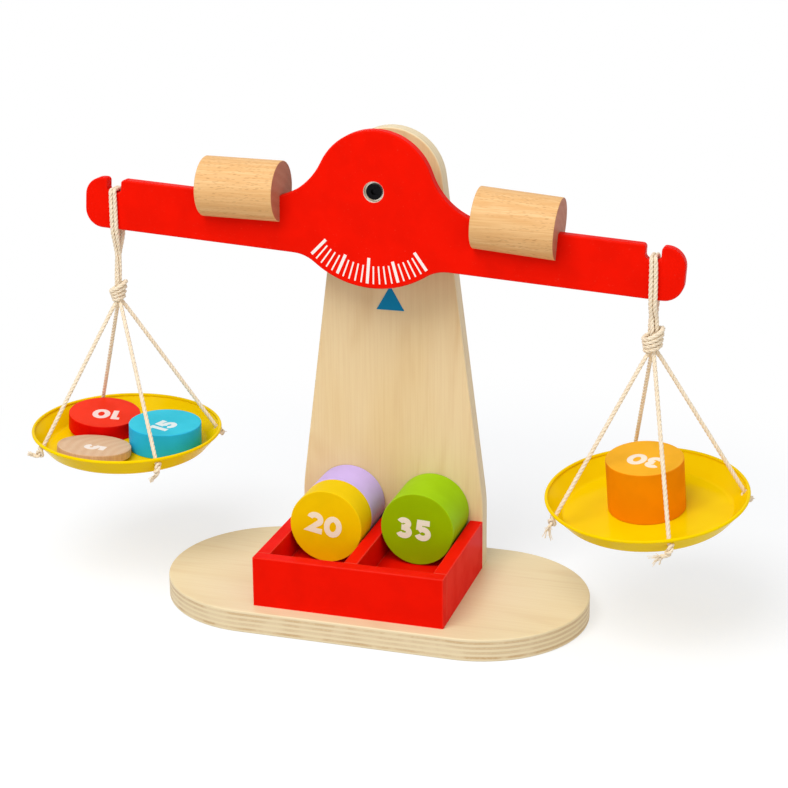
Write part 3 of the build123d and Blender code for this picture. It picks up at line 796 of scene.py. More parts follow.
def twisted_cord_tree(material: bpy.types.Material) -> Sheet:
    """A tree that lays twisted plies round every line of a curve, thinner where a point's radius is smaller.

    Args:
        material: The cord's material.

    Returns:
        The tree's sheet. Its inputs are Plies, Ply Radius, Ply Offset, Lay and Step.
    """
    inputs = {
        "Plies": ("Int", 3),
        "Ply Radius": ("Float", 0.7 * MM),
        "Ply Offset": ("Float", 0.52 * MM),
        "Lay": ("Float", 7.4 * MM),
        "Step": ("Float", 0.4 * MM),
    }
    sheet, start, end = geometry_tree("Twisted cord", inputs)
    given = start.outputs
    even = sheet.add("GeometryNodeResampleCurve", {"mode": "LENGTH"}, {"Curve": given["Geometry"]})
    sheet.feed(even.inputs["Length"], given["Step"])
    copies = sheet.add("GeometryNodeDuplicateElements", {"domain": "SPLINE"}, {"Geometry": even.outputs[0]})
    sheet.feed(copies.inputs["Amount"], given["Plies"])
    along = sheet.add("GeometryNodeSplineParameter").outputs["Length"]
    share = sheet.sum("DIVIDE", copies.outputs["Duplicate Index"], given["Plies"])
    turned = sheet.plus(sheet.sum("DIVIDE", along, given["Lay"]), share)
    angle = sheet.times(turned, math.tau)
    outward = sheet.add("GeometryNodeInputNormal").outputs[0]
    forward = sheet.add("GeometryNodeInputTangent").outputs[0]
    sideways = sheet.vector("CROSS_PRODUCT", forward, outward)
    both = sheet.vector("ADD", sheet.scaled(outward, sheet.sum("COSINE", angle)),
                        sheet.scaled(sideways, sheet.sum("SINE", angle)))
    tightness = sheet.add("GeometryNodeInputRadius").outputs[0]
    push = sheet.scaled(both, sheet.times(given["Ply Offset"], tightness))
    moved = sheet.add("GeometryNodeSetPosition", None, {"Geometry": copies.outputs[0], "Offset": push})
    close_tree(sheet, end, skinned(sheet, moved.outputs[0], given["Ply Radius"], 8, tightness), material)
    return sheet


def frayed_end_tree(material: bpy.types.Material) -> Sheet:
    """A tree that opens every line of a curve into loose fibres, as wide as its points' radius says.

    Args:
        material: The fibres' material.

    Returns:
        The tree's sheet. Its inputs are Fibres, Fibre Radius, Core, Curl, Points and Seed.
    """
    inputs = {
        "Fibres": ("Int", 20),
        "Fibre Radius": ("Float", 0.16 * MM),
        "Core": ("Float", 0.55 * MM),
        "Curl": ("Float", 0.5 * MM),
        "Points": ("Int", 8),
        "Seed": ("Int", SEED),
    }
    sheet, start, end = geometry_tree("Frayed end", inputs)
    given = start.outputs
    even = sheet.add("GeometryNodeResampleCurve", {"mode": "COUNT"}, {"Curve": given["Geometry"]})
    sheet.feed(even.inputs["Count"], given["Points"])
    copies = sheet.add("GeometryNodeDuplicateElements", {"domain": "SPLINE"}, {"Geometry": even.outputs[0]})
    sheet.feed(copies.inputs["Amount"], given["Fibres"])
    own = sheet.add("GeometryNodeFieldOnDomain", {"domain": "CURVE", "data_type": "INT"})
    sheet.feed(own.inputs[0], sheet.add("GeometryNodeInputIndex").outputs[0])
    ways = []
    for shift in (0, 1):
        chance = sheet.add("FunctionNodeRandomValue", {"data_type": "FLOAT_VECTOR"})
        seed = sheet.plus(given["Seed"], float(shift))
        sheet.supply(chance, {0: (-1.0,) * 3, 1: (1.0,) * 3, "ID": own.outputs[0], "Seed": seed})
        ways.append(chance.outputs[0])
    factor = sheet.add("GeometryNodeSplineParameter").outputs["Factor"]
    opened = sheet.times(sheet.sum("POWER", factor, 1.6), sheet.add("GeometryNodeInputRadius").outputs[0])
    reach = sheet.plus(given["Core"], opened)
    wave = sheet.sum("SINE", sheet.times(factor, 1.6 * math.pi))
    curl = sheet.scaled(ways[1], sheet.times(wave, given["Curl"]))
    push = sheet.vector("ADD", sheet.scaled(ways[0], reach), curl)
    moved = sheet.add("GeometryNodeSetPosition", None, {"Geometry": copies.outputs[0], "Offset": push})
    close_tree(sheet, end, skinned(sheet, moved.outputs[0], given["Fibre Radius"], 5, 1.0), material)
    return sheet


def level_way(angle: float) -> Vector:
    """The level direction at an angle from X, in radians."""
    return Vector((math.cos(angle), math.sin(angle), 0.0))


@dataclass
class CordLine:
    """The route of one cord: the points it is drawn to, and how thick it is at each, to 1."""

    points: list[Vector] = field(default_factory=list)
    thickness: list[float] = field(default_factory=list)

    def add(self, point: Vector, thickness: float) -> None:
        """Adds a point at the end."""
        self.points.append(point)
        self.thickness.append(thickness)


def lines_piece(name: str, lines: list[CordLine]) -> Piece:
    """A curve object with one smooth line for each route.

    Args:
        name: The object's name.
        lines: The routes.

    Returns:
        The curve object.
    """
    curve = bpy.data.curves.new(name, "CURVE")
    curve.dimensions = "3D"
    for line in lines:
        spline = curve.splines.new("NURBS")
        spline.points.add(len(line.points) - 1)
        for point, at, thickness in zip(spline.points, line.points, line.thickness):
            point.co = (*at, 1.0)
            point.radius = thickness
        spline.order_u = 3
        spline.use_endpoint_u = True
        spline.resolution_u = 8
    return new_piece(name, curve)


@dataclass
class OverhandKnot:
    """An overhand knot in a cord of thickness 1 about the origin, pulled tight along Z by relaxing its line.

    Of the relaxed line, of so much slack between two ends at the reach, only what lies within the body is kept.
    """

    slack: float = 8.9
    reach: float = 2.86
    count: int = 96
    rounds: int = 1500
    body: float = 1.5
    size: float = 0.55
    drawing_share: float = 0.6
    passes: int = 4
    near: float = 1.35
    smoothing_share: float = 0.12
    parting_share: float = 0.25
    line: list[Vector] = field(default_factory=list)

    def __post_init__(self) -> None:
        """Relaxes the line, from above to below, and keeps what lies in the knot."""
        whole = [Vector(row) for row in self.relaxed()[::-1]]
        first = next(index for index, spot in enumerate(whole) if spot.z < self.body)
        last = next(index for index in range(len(whole) - 1, 0, -1) if whole[index].z > -self.body)
        self.line = whole[first:last + 1]

    def relaxed(self) -> np.ndarray:
        """Draws the knot's line in from a loose start until it touches itself all round."""
        t = np.linspace(-2.1, 2.1, self.count)
        line = np.stack([t**3 - 3 * t, t**4 - 4 * t**2 + 1.5, 0.6 * (t**5 - 10 * t)], axis=1) * self.size
        line -= line.mean(axis=0)
        first = np.linalg.norm(np.diff(line, axis=0), axis=1).sum()
        aim = 2 * self.reach + self.slack
        index = np.arange(self.count)
        between = np.abs(index[:, None] - index[None, :])
        for turn in range(self.rounds):
            share = min(turn / (self.rounds * self.drawing_share), 1.0)
            rest = (first + (aim - first) * share) / (self.count - 1)
            apart = between * rest > self.near
            for _ in range(self.passes):
                line[0], line[-1] = (0, 0, -self.reach), (0, 0, self.reach)
                for odd in (0, 1):
                    step = line[odd + 1::2] - line[odd:-1:2]
                    push = step * (1 - rest / np.linalg.norm(step, axis=1, keepdims=True)) / 2
                    line[odd:-1:2][:len(push)] += push
                    line[odd + 1::2][:len(push)] -= push
            line[1:-1] += ((line[:-2] + line[2:]) / 2 - line[1:-1]) * self.smoothing_share
            gap = line[:, None, :] - line[None, :, :]
            far = np.linalg.norm(gap, axis=2) + 1e-12
            short = np.where(apart & (far < 1.0), (1.0 - far) / far, 0.0)
            line += (gap * short[:, :, None]).sum(axis=1) * self.parting_share
        return line

    def placed(self, middle: Vector, up: Vector, turn: float, thick: float) -> list[Vector]:
        """The knot's line about a middle, from where its cord comes in, turned in degrees, for a cord this thick."""
        axes = up.to_track_quat("Z", "X").to_matrix() @ Matrix.Rotation(math.radians(turn), 3, "Z")
        return [middle + axes @ (spot * thick) for spot in self.line]


@dataclass
class GatherKnot:
    """The knot that gathers a pan's cords: each goes once round the others, in one sloping band.

    The slopes are the highest and the lowest cord's, in degrees. The taper is the lowest one's radius as a share of
    the highest one's, and the sink is how far the middle lies under the knot's top.
    """

    radius: float
    spacing: float
    cord: float
    slopes: tuple[float, float]
    taper: float
    sink: float
    core: float = 1.3 * MM
    core_share: float = 0.4
    turning_in: float = 6.0
    steps: int = 20

    def wrap(self, index: int, middle: Vector, right: Vector) -> list[Vector]:
        """The line of one cord as it goes round, from the back over the left side and the front.

        Args:
            index: Which cord, 0 for the highest.
            middle: The knot's middle.
            right: The level direction towards which the band rises.

        Returns:
            The points.
        """
        low = index / (CORDS - 1)
        slope = math.tan(math.radians(self.slopes[0] + (self.slopes[1] - self.slopes[0]) * low))
        size = self.radius * (1 + (self.taper - 1) * low)
        height = ((CORDS - 1) / 2 - index) * self.spacing
        back = UP.cross(right)
        points = []
        for step in range(self.steps + 1):
            share = step / self.steps
            angle = math.tau * share
            opened = min(1.0, self.turning_in * share, self.turning_in * (1 - share))
            out = size * (self.core_share + (1 - self.core_share) * opened)
            across = -out * math.sin(angle)
            level = right * across + back * out * math.cos(angle)
            points.append(middle + level + Vector((0.0, 0.0, height + slope * across)))
        return points


@dataclass
class PhotoCamera:
    """The camera at the photograph's viewing place."""

    eye: Vector = field(default_factory=lambda: Vector((277.7, -861.7, 414.9)) * MM)
    azimuth: float = 17.2996
    elevation: float = 14.6529
    roll: float = -0.4656
    focal_pixels: float = 1809.565
    middle_pixels: tuple[float, float] = (390.133, 281.014)
    sensor: float = 36.0

    @property
    def right(self) -> Vector:
        """The level direction that runs to the right in the view."""
        return level_way(math.radians(self.azimuth))

    def build(self) -> Piece:
        """Makes the camera and sets it as the scene's.

        Returns:
            The camera's object.
        """
        turn, rise, lean = (math.radians(angle) for angle in (self.azimuth, self.elevation, self.roll))
        back = Vector((math.sin(turn) * math.cos(rise), -math.cos(turn) * math.cos(rise), math.sin(rise)))
        up = back.cross(self.right)
        rolled_right = self.right * math.cos(lean) + up * math.sin(lean)
        rolled_up = up * math.cos(lean) - self.right * math.sin(lean)
        data = bpy.data.cameras.new("photo_camera")
        data.sensor_width = self.sensor
        data.sensor_fit = "HORIZONTAL"
        data.lens = self.focal_pixels / PHOTO_SIZE * self.sensor
        data.shift_x = (PHOTO_SIZE / 2 - self.middle_pixels[0]) / PHOTO_SIZE
        data.shift_y = (self.middle_pixels[1] - PHOTO_SIZE / 2) / PHOTO_SIZE
        data.clip_start, data.clip_end = 0.01, 20.0
        camera = new_piece("photo_camera", data)
        axes = Matrix((rolled_right, rolled_up, back)).transposed()
        camera.matrix_world = Matrix.Translation(self.eye) @ axes.to_4x4()
        bpy.context.scene.camera = camera
        return camera


@dataclass(frozen=True)
class Lamp:
    """A square soft light: the way it stands in, how far, its side, all in metres, and its power in watts."""

    name: str
    way: tuple[float, float, float]
    far: float
    size: float
    power: float


@dataclass
class Studio:
    """A pale floor that fades to white, a soft light from the front and above, a small fill and a white world."""

    floor_size: float = 12.0
    floor_shade: float = 0.7
    seen_shade: tuple[float, float, float] = (0.43, 0.44, 0.455)
    floor_lift: float = 0.61
    fade: tuple[float, float] = (0.25, 0.42)
    world_strength: float = 0.5
    middle: Vector = field(default_factory=lambda: UP * 0.12)
    lamps: tuple[Lamp, ...] = (
        Lamp("key_light", (-0.16, -0.58, 0.84), far=1.4, size=0.85, power=13.0),
        Lamp("fill_light", (0.85, -0.6, 0.3), far=1.9, size=1.2, power=4.2),
    )

    def light(self, lamp: Lamp) -> None:
        """Sets up one lamp, which looks at the object's middle."""
        data = bpy.data.lights.new(lamp.name, "AREA")
        data.size, data.energy = lamp.size, lamp.power
        way = Vector(lamp.way)
        piece = new_piece(lamp.name, data)
        piece.location = self.middle + way.normalized() * lamp.far
        piece.rotation_euler = way.to_track_quat("Z", "Y").to_euler()

    def seen_directly(self, sheet: Sheet) -> Socket:
        """1 for rays that show the background itself: from the camera, off gloss or through glass."""
        rays = sheet.add("ShaderNodeLightPath").outputs
        seen = sheet.sum("ADD", rays["Is Camera Ray"], rays["Is Glossy Ray"], True)
        return sheet.sum("ADD", seen, rays["Is Transmission Ray"], True)

    def floor_material(self) -> bpy.types.Material:
        """A matt floor that takes the object's shadow and is plain white further off."""
        material = bpy.data.materials.new("floor")
        material.use_nodes = True
        material.node_tree.nodes.clear()
        sheet = Sheet(material.node_tree)
        seen = self.seen_directly(sheet)
        place = sheet.add("ShaderNodeTexCoord").outputs["Object"]
        away = sheet.times(sheet.ramp(sheet.measure("LENGTH", place), *self.fade), seen)
        shades = [(self.floor_shade,) * 3 + (1.0,), (*self.seen_shade, 1.0)]
        matt = sheet.add("ShaderNodeBsdfDiffuse", None, {"Color": sheet.mix(seen, *shades)})
        lift = sheet.add("ShaderNodeEmission", None, {"Strength": sheet.times(seen, self.floor_lift)})
        near = sheet.add("ShaderNodeAddShader", None, {0: matt.outputs[0], 1: lift.outputs[0]})
        white = sheet.add("ShaderNodeEmission", None, {"Strength": 1.0})
        both = sheet.add("ShaderNodeMixShader", None, {0: away, 1: near.outputs[0], 2: white.outputs[0]})
        sheet.add("ShaderNodeOutputMaterial", None, {"Surface": both.outputs[0]})
        return material

    def build(self) -> None:
        """Makes the floor, the lamps and the world."""
        mesh = bpy.data.meshes.new("floor")
        half = self.floor_size / 2
        mesh.from_pydata([(-half, -half, 0), (half, -half, 0), (half, half, 0), (-half, half, 0)], [], [(0, 1, 2, 3)])
        mesh.materials.append(self.floor_material())
        new_piece("floor", mesh)
        world = bpy.data.worlds.new("white")
        world.use_nodes = True
        world.node_tree.nodes.clear()
        sheet = Sheet(world.node_tree)
        strength = sheet.ramp(self.seen_directly(sheet), 0.0, 1.0, self.world_strength, 1.0)
        light = sheet.add("ShaderNodeBackground", None, {"Color": (1.0, 1.0, 1.0, 1.0), "Strength": strength})
        sheet.add("ShaderNodeOutputWorld", None, {"Surface": light.outputs[0]})
        bpy.context.scene.world = world
        bpy.context.scene.view_settings.view_transform = "Standard"
        for lamp in self.lamps:
            self.light(lamp)


@dataclass
class Face:
    """A flat round face of a solid: its middle and the way that it looks."""

    middle: Vector
    normal: Vector

    @classmethod
    def of(cls, node: str, towards: Vector, spread: float = 0.85) -> "Face":
        """Finds a solid's main flat face that looks a given way.

        Args:
            node: The solid's name.
            towards: About where the face looks.
            spread: How close to that way a triangle's normal has to be, as a cosine.

        Returns:
            The face.
        """
        mesh = frame["nodes"][node].data
        mesh.calc_loop_triangles()
        kinds: dict[tuple, list] = {}
        for triangle in mesh.loop_triangles:
            normal = triangle.normal
            if normal.dot(towards) > spread:
                points = [mesh.vertices[index].co for index in triangle.vertices]
                key = tuple(round(part, 2) for part in normal)
                kinds.setdefault(key, []).append((triangle.area, sum(points, Vector()) / 3, normal.copy()))
        widest = max(kinds.values(), key=lambda rows: sum(row[0] for row in rows))
        total = sum(row[0] for row in widest)
        middle = sum((row[1] * row[0] for row in widest), Vector()) / total
        normal = sum((row[2] * row[0] for row in widest), Vector()).normalized()
        return cls(middle, normal)


@dataclass
class Stroke:
    """One stroke of a numeral, as a line of points and a width, or as an outline."""

    points: list[tuple[float, float]]
    closed: bool = False
    outline: bool = False


def arc(middle: tuple[float, float], wide: float, high: float, start: float, sweep: float, count: int = 24) -> list:
    """Points along an arc of an ellipse, between angles in degrees, in so many pieces."""
    angles = [math.radians(start + sweep * index / count) for index in range(count + 1)]
    return [(middle[0] + wide * math.cos(a), middle[1] + high * math.sin(a)) for a in angles]


STROKE_WIDTH = 0.275
NUMERALS: dict[str, tuple[float, list[Stroke]]] = {
    "0": (0.84, [Stroke(arc((0.42, 0.5), 0.302, 0.39, 90, 352.5, 47), closed=True)]),
    "1": (0.43, [Stroke([(0.0, 1.0), (0.43, 1.0), (0.43, 0.0), (0.16, 0.0), (0.16, 0.775), (0.0, 0.775)],
                        outline=True)]),
    "2": (0.82, [Stroke(arc((0.39, 0.665), 0.27, 0.225, 168, -210) + [(0.17, 0.118), (0.8, 0.118)])]),
    "3": (0.75, [Stroke(arc((0.35, 0.72), 0.215, 0.165, 160, -250)),
                 Stroke(arc((0.36, 0.305), 0.255, 0.19, 90, -252)),
                 Stroke([(0.23, 0.522), (0.38, 0.522)])]),
    "5": (0.78, [Stroke([(0.7, 0.885), (0.215, 0.885), (0.185, 0.5)]),
                 Stroke(arc((0.375, 0.335), 0.265, 0.222, 140, -300))]),
}


@dataclass
class NumberPrint:
    """A number printed on a flat face, in bold rounded numerals."""

    text: str
    gap: float = 0.08
    height: float = 11.3 * MM
    thickness: float = 0.07 * MM
    sunk: float = 0.03 * MM

    def ribbon(self, stroke: Stroke) -> list[list[tuple[float, float]]]:
        """The outline of a stroke.

        Args:
            stroke: The stroke.

        Returns:
            Its loops of points: one, or two for a closed stroke.
        """
        if stroke.outline:
            return [stroke.points]
        points, half = stroke.points, STROKE_WIDTH / 2
        count = len(points)
        sides: tuple[list, list] = ([], [])
        for index, (x, y) in enumerate(points):
            before = points[index - 1] if index or stroke.closed else None
            after = points[(index + 1) % count] if index < count - 1 or stroke.closed else None
            steps = []
            if before is not None:
                steps.append(Vector((x - before[0], y - before[1])).normalized())
            if after is not None:
                steps.append(Vector((after[0] - x, after[1] - y)).normalized())
            normals = [Vector((-step.y, step.x)) for step in steps]
            out = sum(normals, Vector((0.0, 0.0))).normalized()
            reach = half / max(out.dot(normals[0]), 0.45)
            sides[0].append((x + out.x * reach, y + out.y * reach))
            sides[1].append((x - out.x * reach, y - out.y * reach))
        if stroke.closed:
            return [sides[0], sides[1]]
        return [sides[0] + sides[1][::-1]]

    def prism(self, loops: list[list[tuple[float, float]]], shift: float, place: Matrix) -> Piece:
        """A thin slab with the given outline, on the face.

        Args:
            loops: One outline, or an outer and an inner one of as many points.
            shift: How far along the number it stands, in numeral heights.
            place: The face's axes.

        Returns:
            The slab's object.
        """
        mesh = bmesh.new()
        levels = []
        for depth in (-self.sunk, self.thickness):
            rings = []
            for loop in loops:
                spots = [place @ Vector(((x + shift) * self.height, y * self.height, depth)) for x, y in loop]
                rings.append([mesh.verts.new(spot) for spot in spots])
            levels.append(rings)
        for rings_low, rings_high in zip(*levels):
            count = len(rings_low)
            for index in range(count):
                ahead = (index + 1) % count
                mesh.faces.new((rings_low[index], rings_low[ahead], rings_high[ahead], rings_high[index]))
        for rings in levels:
            if len(rings) == 1:
                mesh.faces.new(rings[0])
            else:
                count = len(rings[0])
                for index in range(count):
                    ahead = (index + 1) % count
                    mesh.faces.new((rings[0][index], rings[0][ahead], rings[1][ahead], rings[1][index]))
        bmesh.ops.recalc_face_normals(mesh, faces=mesh.faces)
        data = bpy.data.meshes.new("numeral")
        mesh.to_mesh(data)
        mesh.free()
        return new_piece("numeral", data)

    def build(self, name: str, middle: Vector, across: Vector, normal: Vector, ink: bpy.types.Material) -> Piece:
        """Prints the number on a face.

        Args:
            name: The piece's name.
            middle: Where the number's middle is.
            across: The way that it is read.
            normal: The way that the face looks.
            ink: The ink's material.

        Returns:
            The printed piece, one closed slab for each numeral.
        """
        axes = Matrix((across, normal.cross(across), normal)).transposed().to_4x4()
        width = sum(NUMERALS[mark][0] for mark in self.text) + self.gap * (len(self.text) - 1)
        start = Matrix.Translation((-width * self.height / 2, -self.height / 2, 0.0))
        place = Matrix.Translation(middle) @ axes @ start
        shift, done = 0.0, []
        for mark in self.text:
            advance, strokes = NUMERALS[mark]
            slabs = [self.prism(self.ribbon(stroke), shift, place) for stroke in strokes]
            for other in slabs[1:]:
                join = slabs[0].modifiers.new("union", "BOOLEAN")
                join.operation, join.solver, join.object = "UNION", "EXACT", other
            whole = settled(slabs[0], f"{name}_{len(done)}")
            for other in slabs[1:]:
                bpy.data.objects.remove(other)
            done.append(whole)
            shift += advance + self.gap
        piece = joined(name, done)
        piece.data.materials.append(ink)
        return piece


class DiscShade(Enum):
    """Each weight's number, the paint round its side and the colour of its faces, which is paint with painted light:
    lighter on the faces that look up, darker on those that look forward.
    """

    FIVE = (5, "d9aa80", "d9aa80")
    TEN = (10, "e90802", "fb3618")
    FIFTEEN = (15, "2cc0f4", "38cee6")
    TWENTY = (20, "fcd606", "fbd002")
    TWENTY_FIVE = (25, "d8bffa", "cfb2f0")
    THIRTY = (30, "f99202", "ffb928")
    THIRTY_FIVE = (35, "a6d40c", "9abe02")


@dataclass
class DiscWeight:
    """A turned disc with its number printed on one face.

    The number is turned in degrees from level in the photograph's view, and shifted right and up from the face's
    middle. The gap between its numerals is a share of their height.
    """

    shade: DiscShade
    towards: Vector
    turn: float
    shift: tuple[float, float] = (0.0, 0.0)
    gap: float = 0.08

    def finish(self, face: Face) -> Finish:
        """The disc's finish: bare beech for the lightest weight, paint for the others."""
        # The third colour is the faces': paint with painted light, lighter on up-facing faces and darker on
        # forward-facing ones.
        number, side, flat = self.shade.value
        if self.shade is DiscShade.FIVE:
            return Beech("weight_5_beech", grain=Grain.ALONG_Z, end_axis=2, light="e4c098", tan="d3a67e",
                         fleck="b98a64", end="dfb891", end_light="eaccaa")
        # The paint blended with white gives the specks and the painted highlight on the disc's rounded edges.
        return DiscPaint(f"weight_{number}_paint", shade=side, face_shade=flat, thin=blended(side, "ffffff", 0.3),
                         roughness=0.42, shine=0.03, rim_reach=0.6 * MM, rim_share=0.5, axis=face.normal)

    def build(self) -> None:
        """Dresses the disc and prints its number."""
        number, side, _ = self.shade.value
        face = Face.of(f"weight_{number}", self.towards)
        dress(f"weight_{number}", self.finish(face).build())
        level = PhotoCamera().right
        level = (level - face.normal * level.dot(face.normal)).normalized()
        rise = face.normal.cross(level)
        middle = face.middle + level * self.shift[0] + rise * self.shift[1]
        across = Matrix.Rotation(math.radians(self.turn), 3, face.normal) @ level
        ink = Ink(f"ink_{number}", shade=blended("fff9f2", side, 0.1), worn=blended("fff9f2", side, 0.3)).build()
        text = NumberPrint(str(number), self.gap)
        piece = text.build(f"number_{number}", middle, across, face.normal, ink)
        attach(piece, f"weight_{number}_body")
        LOG.info("printed %s", piece.name)


@dataclass
class Stand:
    """The base board, the upright with its pointer, and the fasteners."""

    base_thickness: float = 12 * MM
    upright_thickness: float = 10 * MM

    def build(self) -> None:
        """Dresses the stand's solids."""
        base = Plywood("base_ply", grain=Grain.ALONG_X, thin_axis=2, low=0.0, thickness=self.base_thickness,
                       pale="f4e4bc", warm="f0dcae", line="e0c392")
        dress("base_board", base.build())
        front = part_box("upright")[0].y
        upright = Plywood("upright_ply", grain=Grain.ALONG_Z, thin_axis=1, low=front,
                          thickness=self.upright_thickness, layers=7.0, edge_share=0.45, shift=0.031)
        dress("upright", upright.build())
        dress("pointer_mark", Ink("pointer_ink", shade="0083b2", worn="0a86b4").build())
        dress("pivot_front_washer", Nylon("white_nylon").build())
        zinc = Steel("zinc").build()
        for node in ("upright_screws", "tray_screws", "pivot_sleeve", "pivot_back_washer", "pivot_nut"):
            dress(node, zinc)
        dress("pivot_bolt", Steel("black_bolt", shade="1a1a1c", roughness=0.22).build())
        dress("pivot_spacer", Beech("spacer_beech", grain=Grain.ALONG_Y, end_axis=1).build())
        dress("upright_dowels", Beech("peg_beech", grain=Grain.ALONG_Z, end_axis=2).build())


@dataclass
class Tray:
    """The painted tray in front of the upright."""

    def build(self) -> None:
        """Dresses the tray's boards."""
        side_paint = Paint("tray_side_red", grain=Grain.ALONG_Y).build()
        dress("tray_front", Paint("tray_front_red").build())
        for node in ("tray_left_side", "tray_divider", "tray_right_side", "tray_left_floor", "tray_right_floor"):
            dress(node, side_paint)


@dataclass
class Beam:
    """The painted beam board with the strokes printed on its dial, turned with it by the tilt, in degrees."""

    pivot: Vector
    tilt: float = 4.6
    strokes: int = 21
    stroke_step: float = 4.0
    outer_radius: float = 48.7 * MM
    lengths: tuple[float, float, float] = (9.5 * MM, 11.3 * MM, 13.7 * MM)
    widths: tuple[float, float] = (0.8 * MM, 1.6 * MM)
    raised: float = 0.12 * MM

    def dial_tree(self, ink: bpy.types.Material) -> Sheet:
        """A tree that prints the dial's strokes about the pivot."""
        inputs = {
            "Strokes": ("Int", self.strokes),
            "Step": ("Float", math.radians(self.stroke_step)),
            "Outer Radius": ("Float", self.outer_radius),
            "Short": ("Float", self.lengths[0]),
            "Long": ("Float", self.lengths[1]),
            "Middle": ("Float", self.lengths[2]),
            "Thin": ("Float", self.widths[0]),
            "Thick": ("Float", self.widths[1]),
            "Raised": ("Float", self.raised),
        }
        sheet, start, end = geometry_tree("Dial strokes", inputs)
        given = start.outputs
        half = sheet.sum("FLOOR", sheet.sum("DIVIDE", given["Strokes"], 2.0))
        place = sheet.minus(sheet.add("GeometryNodeInputIndex").outputs[0], half)
        spot = sheet.sum("ABSOLUTE", place)
        fifth = sheet.sum("COMPARE", sheet.sum("MODULO", spot, 5.0), 0.0)
        centre = sheet.sum("COMPARE", spot, 0.0)
        longer = sheet.times(fifth, sheet.minus(given["Long"], given["Short"]))
        longest = sheet.times(centre, sheet.minus(given["Middle"], given["Long"]))
        length = sheet.plus(sheet.plus(given["Short"], longer), longest)
        wider = sheet.times(fifth, sheet.minus(given["Thick"], given["Thin"]))
        width = sheet.plus(given["Thin"], wider)
        angle = sheet.times(place, given["Step"])
        reach = sheet.minus(given["Outer Radius"], sheet.times(length, 0.5))
        down = sheet.times(sheet.times(sheet.sum("COSINE", angle), reach), -1.0)
        side = sheet.times(sheet.sum("SINE", angle), reach)
        at = sheet.add("ShaderNodeCombineXYZ", None, {"X": side, "Z": down})
        points = sheet.add("GeometryNodePoints", None, {"Count": given["Strokes"], "Position": at.outputs[0]})
        size = sheet.add("ShaderNodeCombineXYZ", None, {"X": width, "Y": given["Raised"], "Z": length})
        turn = sheet.add("ShaderNodeCombineXYZ", None, {"Y": sheet.times(angle, -1.0)})
        bar = sheet.add("GeometryNodeMeshCube")
        copies = sheet.add("GeometryNodeInstanceOnPoints", None, {"Points": points.outputs[0]})
        sheet.supply(copies, {"Instance": bar.outputs["Mesh"], "Rotation": turn.outputs[0], "Scale": size.outputs[0]})
        close_tree(sheet, end, copies.outputs[0], ink)
        return sheet

    def build(self) -> None:
        """Dresses the board and prints the strokes."""
        dress("beam_board", BeamPaint("beam_red", pivot=self.pivot).build())
        ink = Ink("dial_ink").build()
        start = new_piece("dial_start", bpy.data.meshes.new("dial_start"))
        strokes = run_tree(start, self.dial_tree(ink), "dial_strokes")
        _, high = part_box("dial_marks")
        front = Matrix.Translation((self.pivot.x, high.y - self.raised / 2, self.pivot.z))
        strokes.data.transform(front @ Matrix.Rotation(math.radians(self.tilt), 4, "Y"))
        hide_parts("dial_marks")
        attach(strokes, "beam")
        LOG.info("printed %s", strokes.name)


@dataclass
class TailEnd:
    """How one strand ends outside the pan: its tail's way, how wide it frays, its length and its knot's turn."""

    way: Vector
    spread: float
    length: float
    turn: float


